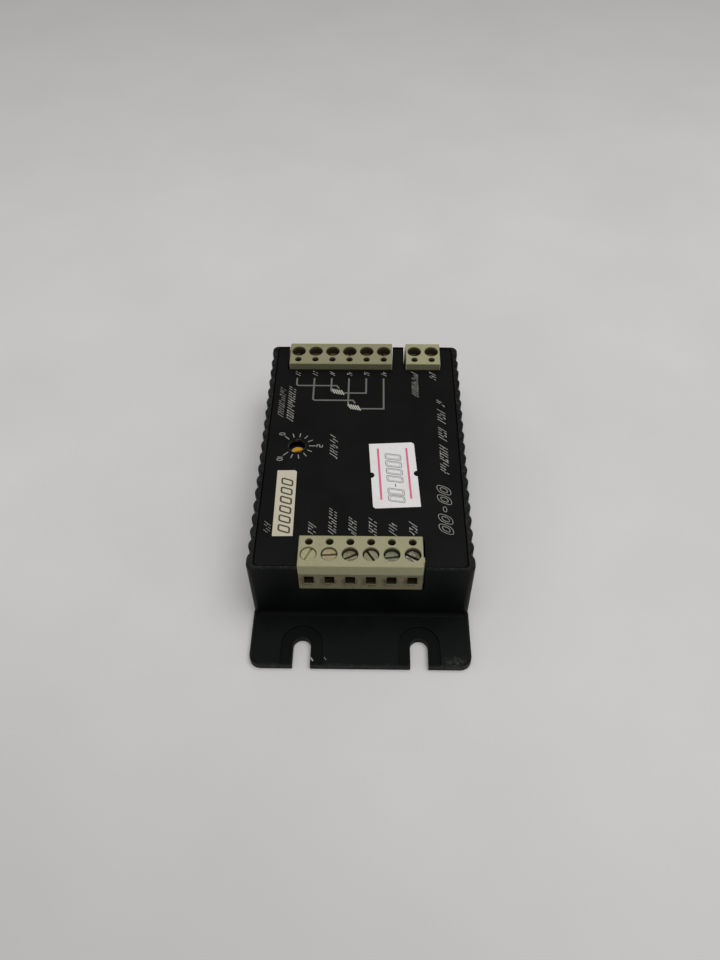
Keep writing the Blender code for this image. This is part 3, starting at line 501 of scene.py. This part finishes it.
def screw_finish(name, pale, dark, highlight=0.0, slot=0.9, metal=0.5, rough=0.42, rim_shade=0.55):
    """Worn plating on a screw whose head's underside is at its own origin: patches, painted shade in the slot
    and round the rim, and painted highlights in streaks."""
    g = Graph(name)
    blotch = g.noise(0.9 * MM, 4, 0.65)
    colour = g.mix(g.ramp(blotch, 0.35, 0.65), pale, dark)
    # Painted shade round the rim of the head and in the slot
    rim = g.ramp(g.distance(g.axis(0), g.axis(1)), SCREW_HEAD - 0.3 * MM, SCREW_HEAD - 0.05 * MM)
    slot_shade = g.ramp(g.axis(2), HEAD_HEIGHT - 0.35 * MM, HEAD_HEIGHT - 0.12 * MM, 1.0, 0.0)
    grime = g.most(g.times(rim, rim_shade), g.times(slot_shade, slot))
    colour = g.mix(grime, colour, (0.022, 0.018, 0.010))
    # Painted highlights: pale streaks where the plating would shine
    if highlight:
        streaks = g.noise(1.0, 3, 0.6, g.scaled((420, 2600, 900)))
        painted_highlight = g.times(g.ramp(streaks, 0.54, 0.64), g.minus(1.0, grime))
        colour = g.mix(g.times(painted_highlight, highlight), colour, (0.72, 0.71, 0.64))
    g.set(colour=colour, metal=metal, rough=g.ramp(blotch, 0.2, 0.8, rough, rough + 0.2), spec=0.3)
    turning = g.noise(1.0, 2, 0.5, g.scaled((700, 4200, 900)))
    g.bump(g.plus(turning, blotch), 0.3, 0.05 * MM)
    return g.material


def plated(name, light, dark, rough=0.34, grime=0.3, metal=1.0):
    """Plated metal with turning marks round Z and grime in patches."""
    g = Graph(name)
    blotch = g.noise(0.7 * MM, 4, 0.65)
    turning = g.noise(1.0, 2, 0.5, g.scaled((900, 900, 7000)))
    colour = g.mix(g.ramp(blotch, 0.5 - grime / 2, 0.8), light, dark)
    g.set(colour=colour, metal=metal, rough=g.ramp(blotch, 0.2, 0.8, rough, rough + 0.22), spec=0.5)
    g.bump(g.plus(turning, blotch), 0.2, 0.03 * MM)
    return g.material


def moulded(name, dark, light, rough=0.45, spec=0.4, size=1.5):
    g = Graph(name)
    blotch = g.noise(size * MM, 4, 0.6)
    colour = g.mix(g.ramp(blotch, 0.3, 0.7), dark, light)
    g.set(colour=colour, rough=g.ramp(blotch, 0.2, 0.8, rough - 0.06, rough + 0.08), spec=spec)
    g.bump(g.noise(0.2 * MM, 3), 0.15, 0.03 * MM)
    return g.material


def paper(name, light, dark, grime):
    g = Graph(name)
    fibres = g.noise(1.0, 4, 0.7, g.scaled((2600, 900, 900), (0, 0, 0.6)))
    blotch = g.noise(5 * MM, 3, 0.6)
    colour = g.mix(g.ramp(fibres, 0.3, 0.7), light, dark)
    colour = g.mix(g.times(g.ramp(blotch, 0.5, 0.75), 0.35), colour, grime)
    g.set(colour=colour, rough=0.62, spec=0.3)
    g.bump(fibres, 0.15, 0.02 * MM)
    return g.material


def ink(name, strong, faint, patchy=0.3):
    """Screen-printed ink, thin in places."""
    g = Graph(name)
    thin = g.noise(0.5 * MM, 4, 0.7)
    wide = g.noise(5 * MM, 2)
    wear = g.plus(g.times(thin, 0.6), g.times(wide, 0.4))
    colour = g.mix(g.ramp(wear, 0.5 - patchy / 2, 0.5 + patchy), strong, faint)
    g.set(colour=colour, rough=g.ramp(thin, 0.2, 0.8, 0.45, 0.6), spec=0.3)
    g.bump(thin, 0.1, 0.01 * MM)
    return g.material


def cloth():
    g = Graph("cloth")
    weave = g.times(g.threads(0.55 * MM, "X"), g.threads(0.55 * MM, "Y"))
    folds = g.noise(1.0, 3, 0.5, g.scaled((4, 22, 10)))
    soft = g.noise(45 * MM, 3, 0.5)
    colour = g.mix(g.ramp(soft, 0.3, 0.7), (0.632, 0.620, 0.614), (0.665, 0.656, 0.650))
    # Painted shade: a little darker away from the object, for light falling off
    x, y = g.axis(0), g.axis(1)
    forward = g.plus(g.times(x, 0.35), y)
    away = g.most(g.ramp(y, 130 * MM, 420 * MM, 0.0, 0.7), g.ramp(forward, -55 * MM, -210 * MM))
    colour = g.mix(away, colour, (0.46, 0.453, 0.45))
    g.set(colour=colour, rough=0.85, spec=0.15)
    g.bump(g.plus(g.times(weave, 0.15), folds), 0.35, 0.5 * MM)
    return g.material


CASE_PAINT = case_paint()
PANEL_PAINT = panel_paint()
BLOCK_PLASTIC = {
    prefix: terminal_plastic(prefix, side, *shades)
    for (prefix, poles, side), shades in zip(BLOCKS, (
        ((0.315, 0.302, 0.188), (0.302, 0.294, 0.175)),
        # The motor block's plastic is darker than the front block's: painted shade, for less light at the
        # rear
        ((0.262, 0.242, 0.160), (0.235, 0.238, 0.125)),
        ((0.345, 0.320, 0.212), (0.310, 0.312, 0.168)),
    ))
}
STEEL = plated("zinc_plate", (0.62, 0.60, 0.50), (0.22, 0.20, 0.13))
# After its two colours each screw finish gives the strength of its painted highlights, the painted shade in
# its slot, metalness, roughness and the painted shade round its rim
CREAM = screw_finish("cream_screw", (0.35, 0.333, 0.195), (0.30, 0.288, 0.16), 0.05, 0.0, 0.0, 0.55, 0.0)
COPPERY = screw_finish("coppery_screw", (0.33, 0.295, 0.165), (0.26, 0.195, 0.10), 0.2, 0.25, 0.1, 0.42, 0.3)
OLIVE = screw_finish("olive_screw", (0.21, 0.195, 0.105), (0.12, 0.108, 0.055), 0.4, 0.6, 0.2)
SLOTTED = screw_finish("slotted_screw", (0.26, 0.255, 0.155), (0.19, 0.185, 0.105), 0.15, 0.97, 0.3)
GREENISH = screw_finish("greenish_screw", (0.20, 0.205, 0.135), (0.13, 0.133, 0.08), 0.2, 0.25, 0.15)
HIGHLIGHTED = screw_finish("highlighted_screw", (0.17, 0.155, 0.10), (0.08, 0.072, 0.042), 0.85, 0.95, 0.5, 0.34)
# The rear screws' dark finish is partly painted shade, for heads sitting low in deep wells
DEEP = screw_finish("deep_screw", (0.075, 0.062, 0.026), (0.045, 0.038, 0.014), 0.08, 0.8, 0.3, 0.5)
TARNISHED = plated("tarnished_brass", (0.13, 0.10, 0.05), (0.05, 0.038, 0.018), 0.45, 0.4, 0.7)
FAINT_INK = ink("faint_ink", (0.20, 0.195, 0.185), (0.09, 0.088, 0.082))
BARE_METAL = ink("bare_metal", (0.34, 0.34, 0.33), (0.12, 0.12, 0.115))
TRIMMER_BLUE = moulded("trimmer_blue", (0.006, 0.012, 0.045), (0.009, 0.019, 0.070), 0.4)
ROTOR_YELLOW = moulded("rotor_yellow", (0.50, 0.26, 0.02), (0.68, 0.38, 0.03), 0.42, 0.4, 0.8)
LAMINATE = moulded("laminate", (0.02, 0.09, 0.04), (0.03, 0.13, 0.06), 0.4)
EPOXY = moulded("epoxy", (0.012, 0.012, 0.012), (0.02, 0.02, 0.02), 0.55)
SLEEVE = moulded("sleeve", (0.008, 0.012, 0.05), (0.012, 0.02, 0.08), 0.3)
CEMENT = moulded("cement", (0.18, 0.22, 0.24), (0.26, 0.30, 0.32), 0.6)
WHITE_PAPER = paper("white_paper", (0.755, 0.735, 0.735), (0.70, 0.68, 0.685), (0.62, 0.58, 0.575))
BEIGE_PAPER = paper("beige_paper", (0.56, 0.51, 0.40), (0.50, 0.455, 0.355), (0.42, 0.375, 0.28))
PRINT_INK = ink("print_ink", (0.34, 0.335, 0.31), (0.12, 0.12, 0.112))
LINE_INK = ink("line_ink", (0.155, 0.155, 0.145), (0.10, 0.10, 0.095))
COIL_INK = ink("coil_ink", (0.48, 0.475, 0.42), (0.34, 0.335, 0.29))
RED_INK = ink("red_ink", (0.62, 0.11, 0.20), (0.68, 0.20, 0.28))
GREY_INK = ink("grey_ink", (0.10, 0.10, 0.10), (0.34, 0.335, 0.335), 0.5)
BROWN_INK = ink("brown_ink", (0.035, 0.028, 0.016), (0.13, 0.11, 0.07), 0.5)


# The case, the panel and the terminal blocks


def keep_inside(edge):
    """Edges inside the case that can't be seen stay as they are."""
    a, b = (v.co for v in edge.verts)
    inner = all(abs(p.x) < 24.8 * MM and abs(p.y) < 38.4 * MM for p in (a, b))
    return inner and max(a.z, b.z) < 21.0 * MM


piece("case_casting", softened("case", 0.16 * MM, 2, keep=keep_inside, before=round_ribs), CASE_PAINT,
      replaces=["case"])
piece("panel_sheet", softened("top_panel", 0.08 * MM, 2), PANEL_PAINT, replaces=["top_panel"])
for prefix, poles, side in BLOCKS:
    node = f"{prefix}_terminal_housing"
    piece(f"{prefix}_block", softened(node, 0.12 * MM, 2, sharp=40), BLOCK_PLASTIC[prefix],
          replaces=[node])


# Terminal screws


def screw_mesh(name, length):
    """A slotted cheese-head screw with a dished head and turned grooves for its thread.

    The underside of its head is at its origin.
    """
    bm = bmesh.new()
    edge = 0.16 * MM
    rounding = [
        (SCREW_HEAD - edge + edge * math.sin(a), HEAD_HEIGHT - edge + edge * math.cos(a))
        for a in (math.radians(15 * i) for i in range(7))
    ]
    root = SHANK_RADIUS - THREAD_DEPTH
    thread = []
    for i in range(int((length - 1.2 * MM) / THREAD_PITCH)):
        z = -0.8 * MM - i * THREAD_PITCH
        thread += [(SHANK_RADIUS, z), (root, z - THREAD_PITCH / 2)]
    profile = (
        [(0, HEAD_HEIGHT - 0.05 * MM), (SCREW_HEAD * 0.6, HEAD_HEIGHT - 0.02 * MM)]
        + rounding
        + [(SCREW_HEAD, 0.1 * MM), (SCREW_HEAD - 0.1 * MM, 0), (SHANK_RADIUS, 0), (SHANK_RADIUS, -0.6 * MM)]
        + thread
        + [(root, -length + 0.2 * MM), (SHANK_RADIUS - 0.45 * MM, -length), (0, -length)]
    )
    lathe(bm, profile, 40)
    solid = new_object("screw_blank", mesh_from(bm, "screw_blank"))
    cutter = bmesh.new()
    reach, half = SCREW_HEAD + MM, SLOT_WIDTH / 2
    corners = [(-reach, -half), (reach, -half), (reach, half), (-reach, half)]
    prism(cutter, corners, HEAD_HEIGHT - SLOT_DEPTH, HEAD_HEIGHT + MM)
    tool = new_object("slot_cutter", mesh_from(cutter, "slot_cutter"))
    cut = solid.modifiers.new("slot", "BOOLEAN")
    cut.operation, cut.solver, cut.object = "DIFFERENCE", "EXACT", tool
    bpy.context.view_layer.update()
    mesh = bpy.data.meshes.new_from_object(solid.evaluated_get(bpy.context.evaluated_depsgraph_get()))
    mesh.name = name
    bpy.data.objects.remove(solid)
    bpy.data.objects.remove(tool)
    mesh.shade_smooth()
    mesh.set_sharp_from_angle(angle=math.radians(35))
    return mesh


def slot_angle(node):
    """The direction of a CAD screw's slot about Z, read from the floor of the slot."""
    mesh = NODES[node].data
    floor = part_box(node)[1].z - SLOT_DEPTH
    flat = [p for p in mesh.polygons if abs(p.center.z - floor) < 0.05 * MM and p.normal.z > 0.9]
    points = np.array([mesh.vertices[v].co[:2] for p in flat for v in p.vertices])
    points -= points.mean(axis=0)
    axes = np.linalg.svd(points, full_matrices=False)[2]
    return math.atan2(axes[0][1], axes[0][0])


screw_low, screw_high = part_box("front_screw_1")
SCREW = screw_mesh("terminal_screw", screw_high.z - screw_low.z - HEAD_HEIGHT)
FRONT_FINISHES = (CREAM, COPPERY, OLIVE, SLOTTED, GREENISH, HIGHLIGHTED)
for prefix, poles, side in BLOCKS:
    for i in range(poles):
        node = f"{prefix}_screw_{i + 1}"
        centre = middle(node)
        spot = Matrix.Translation((centre.x, centre.y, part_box(node)[1].z - HEAD_HEIGHT))
        spot @= Matrix.Rotation(slot_angle(node), 4, "Z")
        finish = FRONT_FINISHES[i] if prefix == "front" else DEEP
        piece(f"{node}_turned", SCREW.copy(), finish, node, replaces=[node], place=spot)
bpy.data.meshes.remove(SCREW)


# Print on the panel

INK_LOW, INK_TOP = PANEL_TOP - 0.02 * MM, PANEL_TOP + 0.025 * MM


def ink_line(bm, points, width, lift=0.0, closed=False):
    stroke(bm, [(x * MM, y * MM) for x, y in points], width * MM, INK_LOW, INK_TOP + lift * MM, closed)


def marks(bm, x, start, end, height, pitch, seed, width=0.18, slant=0.85):
    """Marks that stand for a line of small print, without making letters: slanting strokes of mixed lengths,
    along Y from start to end, with the line's middle at x."""
    rng = random.Random(seed)
    count = max(1, int(round(abs(end - start) / pitch)))
    step = (end - start) / count
    for i in range(count):
        y = start + step * (i + rng.uniform(0.38, 0.62))
        kind = rng.random()
        half = height / 2
        if kind < 0.45:
            spans = [(-half, half)]
        elif kind < 0.7:
            spans = [(-half, -0.12 * half), (0.35 * half, half)]
        else:
            cut = rng.choice((-1, 1)) * 0.3 * half
            spans = [(-half, cut)] if cut > 0 else [(cut, half)]
        for low, high in spans:
            ink_line(bm, [(x + low, y - slant * low), (x + high, y - slant * high)], width)
        if rng.random() < 0.4:
            at = rng.choice((-0.8, 0.0, 0.8)) * half
            bar_y = y - slant * at
            ink_line(bm, [(x + at - 0.12, bar_y), (x + at + 0.12, bar_y + 0.55 * step)], width, 0.004)


pole_x = {
    prefix: [middle(f"{prefix}_screw_{i + 1}").x / MM for i in range(poles)] for prefix, poles, side in BLOCKS
}
power_x = pole_x["power"]
FRONT_WORDS_REACH = (-26.0, -21.6, -24.4, -24.6, -25.6, -25.5)
TITLE_WORDS = ((17.0, 15.0), (13.5, 8.2), (6.5, 1.8), (0.0, -10.0))
text = bmesh.new()
for i, (x, reach) in enumerate(zip(pole_x["front"], FRONT_WORDS_REACH)):
    marks(text, x + 0.35, reach - 0.4, -29.9, 2.0, 0.9, 10 + i)
for i, x in enumerate(pole_x["motor"]):
    marks(text, x + 0.1, 28.9, 27.1, 1.5, 0.9, 20 + i, slant=0.7)
marks(text, power_x[0], 28.5, 18.9, 1.9, 0.9, 31)
marks(text, power_x[1] + 0.2, 28.5, 25.8, 1.9, 0.9, 32)
marks(text, -20.4, 22.2, 9.0, 2.0, 0.92, 33, 0.2)
marks(text, -7.8, 3.3, -4.4, 2.1, 0.92, 35, 0.2)
for i, (start, end) in enumerate(TITLE_WORDS):
    marks(text, 21.6, start - 0.2, end + 0.2, 2.2, 0.92, 36 + i, 0.2)
piece("panel_print", mesh_from(text, "panel_print"), PRINT_INK)
small = bmesh.new()
marks(small, -23.1, 21.9, 10.5, 1.7, 0.85, 34, 0.19)
marks(small, -23.3, -26.2, -29.6, 1.7, 0.85, 41)
piece("panel_small_print", mesh_from(small, "panel_small_print"), FAINT_INK)

# Outlined lozenges in place of the large characters at the right
outlines = bmesh.new()
for i in range(5):
    across, along, lean = (0.45, 0.8, 0.2) if i == 2 else (1.8, 1.25, 1.0)
    y = -15.5 - 3.1 * i
    for k, share in enumerate((1.0,) if i == 2 else (1.0, 0.52)):
        shape = []
        for a in (2 * math.pi * t / 12 for t in range(12)):
            out = across * math.copysign(abs(math.cos(a)) ** 0.7, math.cos(a))
            shape.append((21.0 + share * out, y + share * (along * math.sin(a) - lean * math.cos(a))))
        ink_line(outlines, shape, 0.16, 0.003 * (i % 2) + 0.002 * k, closed=True)
piece("panel_lozenges", mesh_from(outlines, "panel_lozenges"), PRINT_INK)

# The wiring diagram: six leads and two windings
lines = bmesh.new()
p1, p2, p3, p4, p5, p6 = pole_x["motor"]
WIRE = 0.48  # width of a lead
BEND = 0.45  # how far its corners are cut
ink_line(lines, [(p1, 26.0), (p1, 22.9 + BEND), (p1 + BEND, 22.9), (-7.9, 22.9), (-7.1, 21.8)], WIRE)
lead = [(p2, 26.0), (p2, 16.95 + BEND), (p2 + BEND, 16.95), (-3.1, 16.95), (-2.4, 15.8)]
ink_line(lines, lead, WIRE, 0.003)
ink_line(lines, [(p3, 26.0), (p3, 20.9), (p3 + 0.6, 20.2)], WIRE, 0.006)
ink_line(lines, [(p4, 26.0), (p4, 14.8), (p4 + 0.6, 14.1)], WIRE, 0.009)
ink_line(lines, [(p5, 26.0), (p5, 19.9), (-5.8, 19.9)], WIRE, 0.012)
ink_line(lines, [(p6, 26.0), (p6, 13.65), (-0.9, 13.65)], WIRE, 0.003)
piece("wiring_print", mesh_from(lines, "wiring_print"), LINE_INK)
coils = bmesh.new()
for cx, cy in ((-7.4, 20.35), (-2.6, 14.2)):
    for i in range(5):
        x = cx - 1.3 + 0.65 * i
        y = cy + 0.3 - 0.15 * i
        ink_line(coils, [(x - 0.42, y + 0.95), (x + 0.42, y - 0.95)], 0.34, 0.016 + 0.002 * i)
piece("winding_print", mesh_from(coils, "winding_print"), COIL_INK)

# The trimmer's dial
dial = bmesh.new()
dial_x, dial_y = middle("trimmer_rotor").xy / MM
SEGMENTS = {"0": "abcdef", "1": "bc", "5": "acdfg"}
PLACES = {"a": ((0, 2), (1, 2)), "b": ((1, 2), (1, 1)), "c": ((1, 1), (1, 0)), "d": ((1, 0), (0, 0)),
          "e": ((0, 0), (0, 1)), "f": ((0, 1), (0, 2)), "g": ((0, 1), (1, 1))}


def digit(bm, character, x, y, width, height, line):
    """A plain digit, read from the object's +X side, its middle at x, y."""
    if character == "0":
        half, tall = width / 2, height / 2
        ring = [(half * math.cos(a), tall * math.sin(a)) for a in (2 * math.pi * i / 14 for i in range(14))]
        ink_line(bm, [(x - v, y - u) for u, v in ring], line, closed=True)
        return
    for k, name in enumerate(SEGMENTS[character]):
        (u0, v0), (u1, v1) = PLACES[name]
        ends = [((u - 0.5) * width, (v - 1) * height / 2) for u, v in ((u0, v0), (u1, v1))]
        ink_line(bm, [(x - v, y - u) for u, v in ends], line, 0.001 * k)


def on_dial(degrees, radius):
    angle = math.radians(degrees)
    return dial_x + radius * math.cos(angle), dial_y + radius * math.sin(angle)


for i in range(11):
    # From the rear left, clockwise as seen from above, to the front left
    turn = 135 - 27 * i
    ink_line(dial, [on_dial(turn, 3.2), on_dial(turn, 5.0 if i in (0, 5, 10) else 4.6)], 0.25)
for value, turn in (("0", 135), ("5", 0), ("10", -135)):
    x, y = on_dial(turn, 6.1)
    for k, character in enumerate(value):
        digit(dial, character, x, y - (k - (len(value) - 1) / 2) * 1.2, 0.8, 1.5, 0.22)
piece("dial_print", mesh_from(dial, "dial_print"), PRINT_INK)


# Paint chipped off the front flange beside its left-hand slot

chips = bmesh.new()
for x, y, length, width, top in ((-11.95, -52.9, 1.2, 0.36, SEAT_Z), (-8.6, -53.0, 0.9, 0.13, FLANGE_Z)):
    run = Vector((0.25, -0.4)) * length
    ends = [(Vector((x, y)) + way * run) * MM for way in (-1, 1)]
    stroke(chips, ends, width * MM, top - 0.02 * MM, top + 0.01 * MM)
piece("flange_chips", mesh_from(chips, "flange_chips"), BARE_METAL)


# Labels and what is printed on them


def label_print(name, node, centre, tilt, rows, material, slot):
    """What rows(bm) draws, turned and set on top of a label."""
    bm = bmesh.new()
    rows(bm)
    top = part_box(node)[1].z
    mesh = mesh_from(bm, name)
    spot = Matrix.Translation((centre[0] * MM, centre[1] * MM, top))
    mesh.transform(spot @ Matrix.Rotation(math.radians(tilt), 4, "Z"))
    piece(name, mesh, material)


def flat_line(bm, points, width, closed=False):
    stroke(bm, [(x * MM, y * MM) for x, y in points], width * MM, -0.02 * MM, 0.012 * MM, closed)


def blank_digit(bm, x, y, width, height, line, lean=0.0):
    """An outlined blank in place of a figure."""
    half, tall = width / 2, height / 2
    corner = min(half, tall) * 0.45
    ring = []
    for cx, cy, start in ((tall - corner, half - corner, 0), (corner - tall, half - corner, 90),
                          (corner - tall, corner - half, 180), (tall - corner, corner - half, 270)):
        ring += [(cx + corner * math.cos(a), cy + corner * math.sin(a))
                 for a in (math.radians(start + 30 * i) for i in range(4))]
    flat_line(bm, [(x + u, y + v - lean * u) for u, v in ring], line, closed=True)


piece("inventory_sticker", softened("inventory_label", 0.02 * MM, 1), WHITE_PAPER,
      replaces=["inventory_label"])
piece("serial_sticker", softened("serial_label", 0.02 * MM, 1), BEIGE_PAPER,
      replaces=["serial_label"])
INVENTORY = ((8.3, -10.4), 3.4)  # the label's middle and its tilt in degrees
SERIAL = ((-19.5, -19.9), 0.9)


def red_rows(bm):
    flat_line(bm, [(-3.75, 9.2), (-3.8, -8.3)], 0.55)
    flat_line(bm, [(3.85, 9.0), (3.8, -8.3)], 0.55)


def grey_rows(bm):
    for y in (6.0, 3.45, 0.9, -1.65, -5.9, -8.2):
        blank_digit(bm, 0.1, y, 1.9, 4.1, 0.2, 0.22)
        blank_digit(bm, 0.1, y, 1.15, 3.3, 0.11, 0.22)
    flat_line(bm, [(0.1, -3.3), (0.1, -4.2)], 0.3)


def serial_rows(bm):
    for i in range(6):
        blank_digit(bm, 0.25, 6.6 - 3.0 * i, 1.75, 2.7, 0.46, 0.35)


label_print("inventory_red", "inventory_label", *INVENTORY, red_rows, RED_INK, "white_paper")
label_print("inventory_figures", "inventory_label", *INVENTORY, grey_rows, GREY_INK, "white_paper")
label_print("serial_figures", "serial_label", *SERIAL, serial_rows, BROWN_INK, "beige_paper")


# CAD nodes that stay, with better materials

piece("trimmer_case", softened("trimmer_body", 0.12 * MM, 2), TRIMMER_BLUE,
      replaces=["trimmer_body"])
piece("trimmer_dial", softened("trimmer_rotor", 0.08 * MM, 2), ROTOR_YELLOW, "trimmer",
      replaces=["trimmer_rotor"])
KEPT = {"circuit_board": LAMINATE, "driver_ic": EPOXY, "control_ic": EPOXY, "driver_screw": STEEL,
        "smoothing_capacitor": SLEEVE, "sense_resistor_a": CEMENT, "sense_resistor_b": CEMENT,
        "board_screw_front": STEEL, "board_screw_rear": STEEL}
for prefix, poles, side in BLOCKS:
    for i in range(poles):
        KEPT[f"{prefix}_plate_{i + 1}"] = TARNISHED
        KEPT[f"{prefix}_contact_{i + 1}"] = TARNISHED
for node, material in KEPT.items():
    NODES[node].data.materials.clear()
    NODES[node].data.materials.append(material)


# Floor, light and camera

floor = bmesh.new()
bmesh.ops.create_grid(floor, x_segments=2, y_segments=2, size=4.0)
floor_obj = new_object("floor", mesh_from(floor, "floor"))
floor_obj.location.z = -0.05 * MM
floor_obj.data.materials.append(cloth())

world = bpy.data.worlds.new("studio")
scene.world = world
world.use_nodes = True
sky = world.node_tree.nodes
background = sky["Background"]
background.inputs["Color"].default_value = (1.0, 0.985, 0.975, 1)
# Brighter on the side that the picture is taken from than beyond the object
direction = sky.new("ShaderNodeTexCoord")
split = sky.new("ShaderNodeSeparateXYZ")
level = sky.new("ShaderNodeMapRange")
world.node_tree.links.new(direction.outputs["Generated"], split.inputs[0])
world.node_tree.links.new(split.outputs[1], level.inputs["Value"])
for socket, value in (("From Min", -0.6), ("From Max", 0.7), ("To Min", 0.50), ("To Max", 0.28)):
    level.inputs[socket].default_value = value
world.node_tree.links.new(level.outputs[0], background.inputs["Strength"])


ceiling = bpy.data.lights.new("ceiling", "AREA")
ceiling.shape = "RECTANGLE"
ceiling.size = ceiling.size_y = 0.85
ceiling.energy = 7.0
ceiling_obj = new_object("ceiling", ceiling)
ceiling_obj.location = (0.18, -0.08, 1.05)
ceiling_obj.rotation_euler = (-ceiling_obj.location).to_track_quat("-Z", "Y").to_euler()

FOCAL = 30.263  # for a 36 mm sensor along the picture's long side
EYE = Vector((3.18, -146.27, 183.34)) * MM
TILT, YAW, ROLL = 0.876, -0.02794, -0.01357
forward = Vector((math.sin(YAW) * math.cos(TILT), math.cos(YAW) * math.cos(TILT), -math.sin(TILT)))
sideways = Vector((math.cos(YAW), -math.sin(YAW), 0))
upward = sideways.cross(forward)
right = sideways * math.cos(ROLL) + upward * math.sin(ROLL)
up = upward * math.cos(ROLL) - sideways * math.sin(ROLL)
camera = bpy.data.cameras.new("camera")
camera.lens = FOCAL
camera.sensor_width = 36
camera.clip_start = 0.01
camera.clip_end = 10
camera_obj = new_object("camera", camera)
camera_obj.matrix_world = Matrix.Translation(EYE) @ Matrix((right, up, -forward)).transposed().to_4x4()
scene.camera = camera_obj

bpy.context.view_layer.update()
